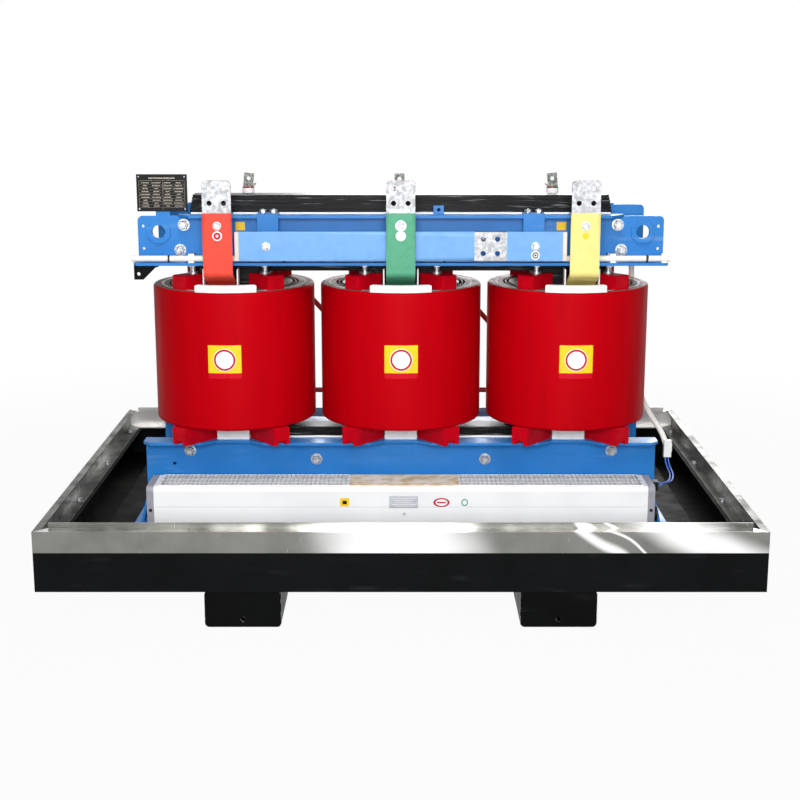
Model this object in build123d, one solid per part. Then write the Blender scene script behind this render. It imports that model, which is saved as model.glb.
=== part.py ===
"""Cast resin dry type transformer on its enclosure base.

Millimetres.  +X runs along the three coils, +Y to the high voltage side, +Z up.  The origin is the
centre of the footprint, on the floor under the two skids.  Every piece is written to parts/ as a STEP
file of its own.  Sizes in capitals are set by themselves; the lower case ones follow from them.
"""
import os
from math import asin, cos, degrees, hypot, radians, sin, tan

from build123d import *

# Clearances
GAP = 0.3                  # between pieces that pass without bearing on each other
RUNNING_GAP = 0.05         # radial, fan shaft in its bearings
BOLT_GAP = 1.0             # radial, bolt in its hole

# Base frame
BASE_LENGTH = 1900.0
BASE_DEPTH = 1400.0
SKID_WIDTH = 200.0
SKID_HEIGHT = 100.0
SKID_WALL = 6.0
SKID_CORNER = 12.0
SKID_INSET = 10.0          # skid end behind the frame's face
SKID_VENT_RADIUS = 5.5
SKID_VENT_HEIGHT = 21.0
SKID_SPACING = 824.0
CHANNEL_HEIGHT = 106.0
CHANNEL_FLANGE = 48.0
CHANNEL_WALL = 5.0
FLOOR_THICKNESS = 4.0
BEAM_WIDTH = 150.0
BEAM_HEIGHT = 25.0
BEAM_WALL = 5.0
BEAM_SPACING = 1550.0

# Stainless rails
RAIL_HEIGHT = 57.0
RAIL_WALL = 2.0
RAIL_FOOT = 38.0
LONG_LEDGE = 34.0          # front and rear ledge
SIDE_LEDGE = 20.0
LIP_HEIGHT = 15.0
LIP_SETBACK = 36.0         # lip end from the frame's corner
LEDGE_HOLE_RADIUS = 3.5
LEDGE_HOLE_SPACING = 1096.0
LEDGE_CORNER_HOLE = 44.0   # corner hole from the frame's end
RAIL_BOLT_RADIUS = 4.0
RAIL_NUT_ACROSS = 13.0
RAIL_NUT_HEIGHT = 6.0
RAIL_WASHER_RADIUS = 9.0
RAIL_WASHER_THICKNESS = 1.6
RAIL_BOLT_COUNT = 4
RAIL_BOLT_START = 50.0     # first bolt from the front corner
RAIL_BOLT_END = 111.0      # last bolt from the rear corner
RAIL_BOLT_INSET = 23.0

# Core
LEG_SPACING = 492.0
# Width and half thickness of each packet
CORE_STEPS = ((220.0, 38.0), (208.0, 52.0), (194.0, 64.0), (178.0, 74.0), (162.0, 83.0), (146.0, 91.0))
CORE_HALF_LENGTH = 603.0
LAMINATION_PACK = 7.0      # about one step-lap group
STEP_LAP = 5.0
YOKE_ABOVE_CLAMP = 18.0
YOKE_BELOW_CLAMP = 35.0

# Clamps and feet
CLAMP_PLATE = 8.0
BOARD_THICKNESS = 7.0      # insulation between core and clamp
BOARD_HALF_LENGTH = 600.0
BOARD_RISE = 4.5           # board above the clamp's top edge
BOARD_FOOT_GAP = 40.0      # lower board above the feet
FOOT_WIDTH = 80.0
FOOT_THICKNESS = 10.0
FOOT_REACH = 300.0
FOOT_OVERHANG = 18.0       # foot beyond the clamp's end
GUSSET_HEIGHT = 60.0
GUSSET_DEPTH = 134.0
LOWER_CLAMP_HEIGHT = 219.0
CLAMP_HALF_FRONT = 752.0
REAR_CLAMP_SETBACK = 25.0  # rear clamps end before the front ones
UPPER_FLANGE_REACH = 94.0  # coil-bearing flanges, from the web's face
LOWER_FLANGE_REACH = 62.0
FLANGE_CHAMFER = 22.0
RECESS_DEPTH = 31.0
RECESS_HALF_INNER = 49.0
RECESS_HALF_OUTER = 90.0
FRONT_CLAMP_HEIGHT = 136.0
REAR_CLAMP_HEIGHT = 151.0
TOP_FLANGE_REACH = 44.0
TOP_FLANGE_HALF = 636.0
TOP_FLANGE_TAPER = 36.0
CLAMP_END_DROP = 5.0       # clamp ends below the top flange
CLAMP_CORNER = 14.0
EARTH_HOLE = (-670.0, 141.0)            # X, and height above the feet
LIFT_HOLE_RADIUS = 19.0
LIFT_HOLE_X = 692.0
LIFT_HOLE_DROP = 50.0      # below the front clamp's top
LIFT_COLLAR_ACROSS = 66.0
LIFT_COLLAR_THICKNESS = 6.0
END_HOLE_RADIUS = 4.0
END_HOLE_INSET = 15.0
END_HOLE_HEIGHTS = (38.0, 102.0)
KEYSTONE_WIDTH = 57.0
KEYSTONE_HEIGHT = 44.0
KEYSTONE_THICKNESS = 3.0

# Clamp bolts
CLAMP_BOLT_RADIUS = 8.0
CLAMP_NUT_ACROSS = 24.0
CLAMP_NUT_HEIGHT = 12.0
CLAMP_WASHER_RADIUS = 17.0
CLAMP_WASHER_THICKNESS = 3.0
BOLT_TAIL = 7.0
UPPER_OUTER_BOLT = (620.0, 106.0)       # X, and height above the upper clamp's bottom
UPPER_LOW_BOLT = (632.0, 34.0)
UPPER_YOKE_BOLT = (245.0, 58.0)
LOWER_OUTER_BOLT = (622.0, 181.0)       # X, and height above the feet
LOWER_YOKE_BOLT = (249.0, 155.0)

# Windings
COIL_HEIGHT = 399.0
HV_OUTER_RADIUS = 236.0
HV_INNER_RADIUS = 190.0
HV_EDGE = 8.0
LV_RADII = (125.0, 140.0, 147.0, 172.0)  # inner layer, then outer layer
LV_DUCT_STICKS = 12
LV_STICK_WIDTH = 10.0
BARRIER_RADIUS = 184.0
BARRIER_THICKNESS = 3.0
TERMINAL_PANEL_WIDTH = 156.0
TERMINAL_PANEL_DEPTH = 27.0
TERMINAL_PANEL_MARGIN = 20.0            # panel end from the coil's end
TURRET_RADIUS = 17.0
TURRET_HEIGHT = 18.0
TURRET_OFFSET = 52.0                    # end terminals, sideways from the coil's centre
TURRET_MARGIN = 28.0                    # end terminals, from the panel's end
TAP_COUNT = 3
TAP_PITCH = 62.0
TAP_OFFSET = 24.0

# Coil supports
LOWER_BLOCK_ANGLE = 38.0
UPPER_BLOCK_ANGLE = 40.0
BLOCK_WIDTH = 54.0
LOWER_BLOCK_RADIUS = 241.0
UPPER_BLOCK_RADIUS = 215.0
BLOCK_WEB_GAP = 1.0
LOWER_BLOCK_HEIGHT = 51.0
UPPER_BLOCK_HEIGHT = 40.0
BLOCK_EDGE = 2.5           # bevel of the blocks' upper edges
BLOCK_GROOVE_WIDTH = 26.0
BLOCK_GROOVE_DEPTH = 10.0
PRESSING_GAP = 32.0
PRESSING_BOLT_RADIUS = 8.0
PRESSING_PAD_RADIUS = 15.0
PRESSING_PAD_HEIGHT = 6.0
PRESSING_CIRCLE_RADIUS = 160.0
WEDGE_WIDTH = 94.0
WEDGE_DEPTH = 23.0
WEDGE_SETBACK = 13.0       # behind the recessed flange's edge
GUARD_HALF_CHORD = 87.0
GUARD_OUTER_RADIUS = 238.0
GUARD_INNER_RADIUS = 218.0
GUARD_HEIGHT = 21.0
GUARD_EDGE = 5.0           # rounding of the guard's top
LEAD_BOARD_THICKNESS = 4.0
LEAD_BOARD_DEPTH = 34.0
LEAD_BOARD_HEIGHT = 62.0
LEAD_BOARD_GAP = 8.0

# Low voltage bars
BAR_WIDTH = 80.0
BAR_THICKNESS = 8.0
BAR_CENTRES = {"red": -508.0, "green": 0.0, "yellow": 511.0}
BAR_TOP = 1126.0
BAR_CORNER = 12.0
BAR_STANDOFF = 84.0        # support strap to bar
BAR_BEND_HEIGHT = 20.0     # bend below the upper clamp
BAR_DROP = 37.0
BAR_BEND_RADIUS = 12.0
BAR_HOLE_RADIUS = 7.0
BAR_HOLE_PITCH = 40.0
BAR_HOLE_TOP = 42.0        # hole pattern's centre below the bar's top
BAR_BOLT_DROP = 19.0       # bar bolt below the clamp's top
NEUTRAL_HALF_LENGTH = 452.0
NEUTRAL_STANDOFF = 55.0
NEUTRAL_BOTTOM = 17.0      # above the upper clamp's bottom
NEUTRAL_PAD = 250.0
STRAP_WIDTH = 60.0
STRAP_THICKNESS = 6.0
NEUTRAL_STRAP_X = 376.0
STRAP_HEIGHT = 110.0
STRAP_BOLT_SPACING = 31.0
INSULATOR_RADIUS = 15.0
INSULATOR_RIB = 4.0
INSULATOR_RIBS = 3
SMALL_BOLT_RADIUS = 5.0
SMALL_NUT_ACROSS = 17.0
SMALL_NUT_HEIGHT = 7.0
SMALL_WASHER_RADIUS = 12.0
SMALL_WASHER_THICKNESS = 2.0
COMB_THICKNESS = 11.0
COMB_DEPTH = 14.0
COMB_PROUD = 6.0           # comb in front of the neutral bar

# Nameplate
NAMEPLATE_WIDTH = 144.0
NAMEPLATE_HEIGHT = 105.0
NAMEPLATE_THICKNESS = 2.0
NAMEPLATE_CENTRE = -679.0
NAMEPLATE_RISE = 13.0      # plate above the clamp's end
NAMEPLATE_RIVET_INSET = 5.0
NAMEPLATE_RIVET_RADIUS = 3.0
NAMEPLATE_TAB_WIDTH = 40.0
NAMEPLATE_TAB_HEIGHT = 44.0
LUG_X = 108.0
LUG_WIDTH = 30.0
LUG_HEIGHT = 24.0
LUG_THICKNESS = 5.0

# High voltage terminals
HV_POST_X = {"left": -462.0, "middle": -4.0, "right": 460.0}
HV_POST_HEIGHT = 185.0
HV_POST_RADIUS = 18.0
HV_SHED_RADIUS = 26.0
HV_SHED_COUNT = 5
HV_POST_OFFSET = 72.0      # from the rear clamp's web
HV_STRAP_WIDTH = 30.0
HV_STRAP_THICKNESS = 5.0
HV_PLATE_HEIGHT = 40.0
HV_PLATE_LEAN = 6.0
HV_HOLE_RADIUS = 6.0
HV_HOLE_DROP = 16.0
HV_ROD_RADIUS = 8.0
DELTA_BEND = 40.0
HV_LUG_RADIUS = 15.0
HV_LUG_THICKNESS = 5.0
TAP_LINK_WIDTH = 20.0
TAP_LINK_THICKNESS = 4.0

# End brackets
BRACKET_LENGTH = 67.0
BRACKET_DROP = 40.0
BRACKET_TOE = 26.0
BRACKET_THICKNESS = 5.0
BRACKET_LEAF = 30.0

# Cross-flow fan
FAN_END_INSET = 28.0       # fan's end from the clamp's end
FAN_DEPTH = 140.0
FAN_HEIGHT = 122.0
FAN_OFFSET = 46.0          # fan's back from the lower clamp's face
FAN_WALL = 2.0
FAN_CORNER = 14.0
FAN_CAP = 20.0
FAN_MOTOR_X = 10.0
FAN_COVER_LENGTH = 313.0
FAN_GRILLE_THICKNESS = 2.0
FAN_WINDOW_MARGIN = 12.0
GRILLE_PITCH = 14.0
GRILLE_BAR = 3.0
GRILLE_ROWS = 4
FAN_MOTOR_RADIUS = 44.0
FAN_MOTOR_LENGTH = 140.0
FAN_MOTOR_SEAT = 60.0
FAN_SHAFT_RADIUS = 6.0
FAN_DRUM_RADIUS = 46.0
FAN_DRUM_GAP = 30.0        # drum end from motor or end cap
FAN_DISC = 3.0
FAN_BLADES = 24
FAN_BLADE_DEPTH = 11.0
FAN_BLADE_THICKNESS = 1.6
FAN_BLADE_PITCH_ANGLE = 32.0
CAPACITOR_RADIUS = 23.0
CAPACITOR_THICKNESS = 18.0
TERMINAL_BLOCK = (18.0, 30.0, 26.0)
TERMINAL_BLOCK_HEIGHT = 95.0            # above the fan's bottom

# Cable sleeves, clips, connector and fan wires
SLEEVE_RADIUS = 8.5
SLEEVE_HALF_LENGTH = 757.0
SLEEVE_SETBACK = 10.0      # sleeve's middle behind the flange's edge
CLIP_WALL = 2.5
CLIP_WIDTH = 16.0
CLIP_STATIONS = (-589.0, 597.0, 741.0)
CONNECTOR_SIZE = (22.0, 18.0, 51.0)
WIRE_RADIUS = 2.2
WIRE_SPACING = 9.0
WIRE_ENTRY = 6.0           # wire's last run, outside and inside the terminal block
WIRE_BOW = 2.0             # sideways, before the last run
SLEEVE_ROUTE = ((700.0, 140.0, 900.0), (708.0, 152.0, 720.0), (722.0, 158.0, 560.0), (740.0, 120.0, 440.0),
                (764.0, 62.0, 392.0), (792.0, 18.0, 352.0), (806.0, -8.0, 306.0))
WIRE_ROUTE = ((0.0, 0.0, 6.0), (0.0, -1.0, -14.0), (4.0, -16.0, -30.0), (5.0, -64.0, -38.0),
              (-8.0, -126.0, -38.0), (-30.0, -182.0, -30.0))

# Levels, from the floor up
skid_top = SKID_HEIGHT
channel_top = skid_top + CHANNEL_HEIGHT
rail_top = channel_top + RAIL_HEIGHT
floor_top = skid_top + CHANNEL_WALL + FLOOR_THICKNESS
beam_top = floor_top + BEAM_HEIGHT
foot_top = beam_top + FOOT_THICKNESS
lower_clamp_top = foot_top + LOWER_CLAMP_HEIGHT
coil_bottom = lower_clamp_top + LOWER_BLOCK_HEIGHT
coil_top = coil_bottom + COIL_HEIGHT
block_top = coil_top + UPPER_BLOCK_HEIGHT
upper_clamp_bottom = block_top + PRESSING_GAP
front_clamp_top = upper_clamp_bottom + FRONT_CLAMP_HEIGHT
rear_clamp_top = upper_clamp_bottom + REAR_CLAMP_HEIGHT
clamp_end_top = front_clamp_top - CLAMP_END_DROP
lower_yoke_centre = lower_clamp_top + YOKE_ABOVE_CLAMP - CORE_STEPS[0][0] / 2
upper_yoke_centre = upper_clamp_bottom - YOKE_BELOW_CLAMP + CORE_STEPS[0][0] / 2

# Distances from the middle plane, towards either side
core_half_depth = CORE_STEPS[-1][1]
clamp_half_rear = CLAMP_HALF_FRONT - REAR_CLAMP_SETBACK
web_back = core_half_depth + BOARD_THICKNESS
web_face = web_back + CLAMP_PLATE
upper_flange_edge = web_face + UPPER_FLANGE_REACH
lower_flange_edge = web_face + LOWER_FLANGE_REACH
top_flange_edge = web_face + TOP_FLANGE_REACH
strap_face = top_flange_edge + STRAP_THICKNESS
bar_back = strap_face + BAR_STANDOFF
neutral_back = strap_face + NEUTRAL_STANDOFF
lv_lead_depth = (LV_RADII[2] + LV_RADII[3]) / 2
panel_face = HV_OUTER_RADIUS + TERMINAL_PANEL_DEPTH
turret_face = panel_face + TURRET_HEIGHT
fan_back = web_face + FAN_OFFSET
fan_axis_y = -(fan_back + FAN_DEPTH / 2)
fan_axis_z = foot_top + FAN_HEIGHT / 2
fan_half = CLAMP_HALF_FRONT - FAN_END_INSET
fan_body_half = fan_half - FAN_CAP
foot_outer = CLAMP_HALF_FRONT + FOOT_OVERHANG
coil_centres = {"left": -LEG_SPACING, "middle": 0.0, "right": LEG_SPACING}


# ---------------------------------------------------------------- helpers
def block(x0, x1, y0, y1, z0, z1):
    """Box between two corners."""
    return Pos((x0 + x1) / 2, (y0 + y1) / 2, (z0 + z1) / 2) * Box(x1 - x0, y1 - y0, z1 - z0)


def polygon(points):
    """Flat face with these corners."""
    return make_face(Polyline(*points, close=True))


def plate_xz(outline, back, thickness):
    """Upright plate, its outline in X and Z, from y = -back towards the front."""
    return Plane.XZ.offset(back) * extrude(outline, thickness)


def prism_x(outline, x0, x1):
    """Bar along X, its outline in Y and Z."""
    return Pos(x0, 0, 0) * (Plane.YZ * extrude(outline, x1 - x0))


def rod_y(x, z, radius, y0, y1):
    """Round bar along Y."""
    return Pos(x, (y0 + y1) / 2, z) * Rot(90, 0, 0) * Cylinder(radius, abs(y1 - y0))


def rod_x(y, z, radius, x0, x1):
    """Round bar along X."""
    return Pos((x0 + x1) / 2, y, z) * Rot(0, 90, 0) * Cylinder(radius, abs(x1 - x0))


def rod_z(x, y, radius, z0, z1):
    """Round bar along Z."""
    return Pos(x, y, (z0 + z1) / 2) * Cylinder(radius, z1 - z0)


def hexagon_y(x, z, across, y0, y1):
    """Hexagonal nut or head along Y."""
    outline = RegularPolygon(across / 2, 6, major_radius=False)
    return Plane.XZ.offset(-y1) * (Pos(x, z) * extrude(outline, y1 - y0))


def hexagon_z(x, y, across, z0, z1):
    """Hexagonal nut or head along Z."""
    return Pos(x, y, z0) * extrude(RegularPolygon(across / 2, 6, major_radius=False), z1 - z0)


def ring(outer, inner, z0, z1):
    """Upright tube about the origin."""
    return Pos(0, 0, z0) * extrude(Circle(outer) - Circle(inner), z1 - z0)


def corners_at(shape, points):
    """Vertices of a flat outline that lie at these points."""
    return [v for v in shape.vertices() if any(hypot(v.X - x, v.Y - y) < 0.01 for x, y in points)]


def to_rear(shape):
    """The same piece on the high voltage side."""
    return mirror(shape, about=Plane.XZ)


def tube(path_points, radii, radius):
    """Round tube along straight runs joined by tangent arcs."""
    path = FilletPolyline(*path_points, radius=radii)
    start = path @ 0
    section = Plane(origin=start, z_dir=path % 0) * Circle(radius)
    return sweep(section, path=path)


def bend_radii(points):
    """Arc at each corner: 0.45 of the shorter run, by the tangent of half the turn."""
    radii = []
    for before, here, after in zip(points, points[1:], points[2:]):
        run_in = Vector(*here) - Vector(*before)
        run_out = Vector(*after) - Vector(*here)
        half_turn = radians(run_in.get_angle(run_out)) / 2
        radii.append(0.45 * min(run_in.length, run_out.length) / tan(half_turn))
    return radii


# ---------------------------------------------------------------- base frame
def skid(x):
    """Box skid closed by end plates, with a vent hole low in each."""
    outer = RectangleRounded(SKID_WIDTH, SKID_HEIGHT, SKID_CORNER)
    clear_width, clear_height = SKID_WIDTH - 2 * SKID_WALL, SKID_HEIGHT - 2 * SKID_WALL
    hollow = RectangleRounded(clear_width, clear_height, SKID_CORNER - SKID_WALL)
    half = BASE_DEPTH / 2 - SKID_INSET
    inner_half = half - SKID_WALL
    box = Plane.XZ.offset(-half) * (Pos(x, SKID_HEIGHT / 2) * extrude(outer, 2 * half))
    box -= Plane.XZ.offset(-inner_half) * (Pos(x, SKID_HEIGHT / 2) * extrude(hollow, 2 * inner_half))
    return box - rod_y(x, SKID_VENT_HEIGHT, SKID_VENT_RADIUS, -half - 1, half + 1)


def mitred(section, length):
    """Frame member along X with its outer face on y = 0 and both ends cut at 45 degrees."""
    bar = prism_x(section, -length / 2, length / 2)
    half = length / 2
    wedge = polygon([(-half, 0), (half, 0), (half / 2, half / 2), (-half / 2, half / 2)])
    tall = Pos(0, 0, -1) * extrude(wedge, channel_top + rail_top)
    return bar & tall


def c_section(height, wall, foot, head):
    """C outline standing on zero and open to the inside."""
    return polygon([(0, 0), (foot, 0), (foot, wall), (wall, wall), (wall, height - wall),
                    (head, height - wall), (head, height), (0, height)])


def frame_sides(make):
    """The four sides of a frame; make(length, is_long) gives one, facing the front."""
    sides = {"front": (BASE_LENGTH, BASE_DEPTH, 0), "right": (BASE_DEPTH, BASE_LENGTH, 90),
             "rear": (BASE_LENGTH, BASE_DEPTH, 180), "left": (BASE_DEPTH, BASE_LENGTH, -90)}
    return {name: Rot(0, 0, turn) * Pos(0, -across / 2, 0) * make(length, length == BASE_LENGTH)
            for name, (length, across, turn) in sides.items()}


def rail_bolt_places():
    """X and Y of the bolts through both side rails."""
    pitch = (BASE_DEPTH - RAIL_BOLT_START - RAIL_BOLT_END) / (RAIL_BOLT_COUNT - 1)
    ys = [-BASE_DEPTH / 2 + RAIL_BOLT_START + i * pitch for i in range(RAIL_BOLT_COUNT)]
    x = BASE_LENGTH / 2 - RAIL_BOLT_INSET
    return [(side * x, y) for side in (-1, 1) for y in ys]


def rail_bolt_holes():
    """Cutters for the bolts through both side rails and the channels under them."""
    depth = 2 * (CHANNEL_WALL + RAIL_WALL)
    return [rod_z(x, y, RAIL_BOLT_RADIUS + BOLT_GAP / 2, channel_top - depth, channel_top + depth)
            for x, y in rail_bolt_places()]


def base_channels():
    """Four channels of the base, open to the inside."""
    section = c_section(CHANNEL_HEIGHT, CHANNEL_WALL, CHANNEL_FLANGE, CHANNEL_FLANGE)
    sides = frame_sides(lambda length, is_long: Pos(0, 0, skid_top) * mitred(section, length))
    return {"channel_" + name: side - rail_bolt_holes() for name, side in sides.items()}


def rail(length, is_long):
    """Folded rail; the long ones carry a standing lip and small holes in their ledge."""
    ledge = LONG_LEDGE if is_long else SIDE_LEDGE
    piece = mitred(c_section(RAIL_HEIGHT, RAIL_WALL, RAIL_FOOT, ledge), length)
    if is_long:
        lip_half = length / 2 - LIP_SETBACK
        piece += block(-lip_half, lip_half, ledge - RAIL_WALL, ledge, RAIL_HEIGHT, RAIL_HEIGHT + LIP_HEIGHT)
        corner = length / 2 - LEDGE_CORNER_HOLE
        under, over = RAIL_HEIGHT - 2 * RAIL_WALL, RAIL_HEIGHT + RAIL_WALL
        for x in (-corner, -LEDGE_HOLE_SPACING / 2, LEDGE_HOLE_SPACING / 2, corner):
            piece -= rod_z(x, ledge / 2, LEDGE_HOLE_RADIUS, under, over)
    return Pos(0, 0, channel_top) * piece


def rails():
    """Four stainless rails on the channels."""
    return {"rail_" + name: side - rail_bolt_holes() for name, side in frame_sides(rail).items()}


def rail_bolts():
    """Bolts that hold the side rails to the channels."""
    seat = channel_top + RAIL_WALL + RAIL_WASHER_THICKNESS
    under = channel_top - CHANNEL_WALL
    bolts = []
    for x, y in rail_bolt_places():
        bolt = rod_z(x, y, RAIL_BOLT_RADIUS, under - RAIL_NUT_HEIGHT - RAIL_WASHER_THICKNESS, seat)
        bolt += rod_z(x, y, RAIL_WASHER_RADIUS, seat - RAIL_WASHER_THICKNESS, seat)
        bolt += hexagon_z(x, y, RAIL_NUT_ACROSS, seat, seat + RAIL_NUT_HEIGHT)
        bolts.append(bolt + hexagon_z(x, y, RAIL_NUT_ACROSS, under - RAIL_NUT_HEIGHT, under))
    return bolts


def floor_plate():
    """Floor on the channels' lower flanges."""
    half_x = BASE_LENGTH / 2 - CHANNEL_WALL - GAP
    half_y = BASE_DEPTH / 2 - CHANNEL_WALL - GAP
    return block(-half_x, half_x, -half_y, half_y, floor_top - FLOOR_THICKNESS, floor_top)


def support_beams():
    """Two flat channels across the floor, web up, under the feet."""
    half_y = BASE_DEPTH / 2 - CHANNEL_WALL - GAP
    inner = BEAM_WIDTH / 2 - BEAM_WALL
    beams = []
    for x in (-BEAM_SPACING / 2, BEAM_SPACING / 2):
        beam = block(x - BEAM_WIDTH / 2, x + BEAM_WIDTH / 2, -half_y, half_y, floor_top, beam_top)
        beam -= block(x - inner, x + inner, -half_y - 1, half_y + 1, floor_top - 1, beam_top - BEAM_WALL)
        beams.append(beam)
    return beams


# ---------------------------------------------------------------- core
def packet_bands():
    """Width and the near and far half thickness of each core packet."""
    inner = 0.0
    for width, outer in CORE_STEPS:
        yield width, inner, outer
        inner = outer


def core_leg(x):
    """Stepped leg between the two yokes."""
    leg = Part()
    for width, inner, outer in packet_bands():
        z0 = lower_yoke_centre + width / 2
        z1 = upper_yoke_centre - width / 2
        for side in (-1, 1):
            y0, y1 = sorted((side * inner, side * outer))
            leg += block(x - width / 2, x + width / 2, y0, y1, z0, z1)
    return leg


def yoke(z, bolt_datum, bolt_place):
    """Stepped yoke with step-lapped ends and two bolt holes."""
    slices = []
    for width, inner, outer in packet_bands():
        count = round((outer - inner) / LAMINATION_PACK)
        pack = (outer - inner) / count
        for side in (-1, 1):
            for i in range(count):
                y0, y1 = sorted((side * (inner + i * pack), side * (inner + (i + 1) * pack)))
                half = CORE_HALF_LENGTH - STEP_LAP * (i % 3)
                slices.append(block(-half, half, y0, y1, z - width / 2, z + width / 2))
    whole = Part() + slices
    bolt_x, rise = bolt_place
    return whole - bolt_holes([(-bolt_x, bolt_datum + rise), (bolt_x, bolt_datum + rise)])


# ---------------------------------------------------------------- clamps
def upper_bolt_places():
    """X and Z of the bolts through the upper clamps."""
    return [(s * x, upper_clamp_bottom + rise) for s in (-1, 1)
            for x, rise in (UPPER_OUTER_BOLT, UPPER_LOW_BOLT, UPPER_YOKE_BOLT)]


def lower_bolt_places():
    """X and Z of the bolts through the lower clamps."""
    return [(s * x, foot_top + rise) for s in (-1, 1) for x, rise in (LOWER_OUTER_BOLT, LOWER_YOKE_BOLT)]


def bolt_holes(places):
    """Cutters for clamp bolts, right through from front to rear."""
    reach = 2 * web_face
    return [rod_y(x, z, CLAMP_BOLT_RADIUS + BOLT_GAP, -reach, reach) for x, z in places]


def pressing_places():
    """X and Y of the pressing bolts on the front side."""
    side = PRESSING_CIRCLE_RADIUS * sin(radians(UPPER_BLOCK_ANGLE))
    depth = PRESSING_CIRCLE_RADIUS * cos(radians(UPPER_BLOCK_ANGLE))
    return [(x + s * side, -depth) for x in coil_centres.values() for s in (-1, 1)]


def chamfered_strip(half, near, far, chamfer):
    """Flange outline from y = -near to -far with its two outer corners cut."""
    return polygon([(-half, -near), (half, -near), (half, chamfer - far), (half - chamfer, -far),
                    (chamfer - half, -far), (-half, chamfer - far)])


def tapered_strip(half, near, far, taper):
    """Flange outline whose ends run out to nothing over the taper."""
    return polygon([(-half, -near), (half, -near), (half - taper, -far), (taper - half, -far)])


def upper_clamp(half, top):
    """Upper clamp on the front side: web, coil flange, top flange, collars and holes."""
    end_top = top - CLAMP_END_DROP
    web = Pos(0, (upper_clamp_bottom + end_top) / 2) * Rectangle(2 * half, end_top - upper_clamp_bottom)
    web = fillet(corners_at(web, [(-half, end_top), (half, end_top)]), CLAMP_CORNER)
    clamp = plate_xz(web, web_back, CLAMP_PLATE)
    clamp += block(-TOP_FLANGE_HALF, TOP_FLANGE_HALF, -web_face, -web_back, end_top, top)
    coil_flange = chamfered_strip(half, web_face, upper_flange_edge, CLAMP_PLATE)
    clamp += Pos(0, 0, upper_clamp_bottom) * extrude(coil_flange, CLAMP_PLATE)
    top_flange = tapered_strip(TOP_FLANGE_HALF, web_face, top_flange_edge, TOP_FLANGE_TAPER)
    clamp += Pos(0, 0, top - CLAMP_PLATE) * extrude(top_flange, CLAMP_PLATE)
    lift_z = front_clamp_top - LIFT_HOLE_DROP
    for x in (-LIFT_HOLE_X, LIFT_HOLE_X):
        collar = Pos(x, lift_z) * RegularPolygon(LIFT_COLLAR_ACROSS / 2, 8, major_radius=False, rotation=22.5)
        clamp += plate_xz(collar, web_face, LIFT_COLLAR_THICKNESS)
        clamp -= rod_y(x, lift_z, LIFT_HOLE_RADIUS, -2 * web_face, -core_half_depth)
    z0, z1 = upper_clamp_bottom - 1, upper_clamp_bottom + CLAMP_PLATE + 1
    clamp -= [rod_z(x, y, PRESSING_BOLT_RADIUS + BOLT_GAP, z0, z1) for x, y in pressing_places()]
    return clamp - bolt_holes(upper_bolt_places())


def upper_front_clamp():
    """Front clamp with the welded nameplate tab, earth lug, end holes and strap bolt holes."""
    clamp = upper_clamp(CLAMP_HALF_FRONT, front_clamp_top)
    end_x = CLAMP_HALF_FRONT - END_HOLE_INSET
    for x in (-end_x, end_x):
        for rise in END_HOLE_HEIGHTS:
            clamp -= rod_y(x, upper_clamp_bottom + rise, END_HOLE_RADIUS, -2 * web_face, -core_half_depth)
    tab_x0, tab_x1 = NAMEPLATE_CENTRE - NAMEPLATE_TAB_WIDTH / 2, NAMEPLATE_CENTRE + NAMEPLATE_TAB_WIDTH / 2
    lug_x0, lug_x1 = LUG_X - LUG_WIDTH / 2, LUG_X + LUG_WIDTH / 2
    lug_back = LUG_THICKNESS - web_face
    clamp += block(tab_x0, tab_x1, -web_face, lug_back, clamp_end_top, clamp_end_top + NAMEPLATE_TAB_HEIGHT)
    clamp += block(lug_x0, lug_x1, -web_face, lug_back, front_clamp_top, front_clamp_top + LUG_HEIGHT)
    clamp -= rod_y(LUG_X, front_clamp_top + LUG_HEIGHT / 2, SMALL_BOLT_RADIUS, -2 * web_face, 0)
    under, over = front_clamp_top - 2 * CLAMP_PLATE, front_clamp_top + CLAMP_PLATE
    hole_radius = SMALL_BOLT_RADIUS + BOLT_GAP / 2
    return clamp - [rod_z(x, y, hole_radius, under, over) for x, y in strap_bolt_places()]


def lower_clamp(half):
    """Lower clamp on the front side: web, recessed coil flange and keystone plates."""
    clamp = block(-half, half, -web_face, -web_back, foot_top, lower_clamp_top)
    flange = chamfered_strip(half, web_face, lower_flange_edge, FLANGE_CHAMFER)
    edge = lower_flange_edge
    recess_back = edge - RECESS_DEPTH
    for x in coil_centres.values():
        flange -= polygon([(x - RECESS_HALF_OUTER, -edge), (x + RECESS_HALF_OUTER, -edge),
                           (x + RECESS_HALF_INNER, -recess_back), (x - RECESS_HALF_INNER, -recess_back)])
    clamp += Pos(0, 0, lower_clamp_top - CLAMP_PLATE) * extrude(flange, CLAMP_PLATE)
    tip = lower_clamp_top - CLAMP_PLATE
    for x in coil_centres.values():
        wide = KEYSTONE_WIDTH / 2 + KEYSTONE_HEIGHT / 6
        keystone = polygon([(x - wide, tip), (x + wide, tip), (x + KEYSTONE_WIDTH / 2, tip - KEYSTONE_HEIGHT),
                            (x - KEYSTONE_WIDTH / 2, tip - KEYSTONE_HEIGHT)])
        clamp += plate_xz(keystone, web_face, KEYSTONE_THICKNESS)
    return clamp - bolt_holes(lower_bolt_places())


def earth_hole():
    """Cutter for the earth bolt's hole in the front lower clamp."""
    x, rise = EARTH_HOLE
    return rod_y(x, foot_top + rise, SMALL_BOLT_RADIUS, -2 * web_face, -core_half_depth)


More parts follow.
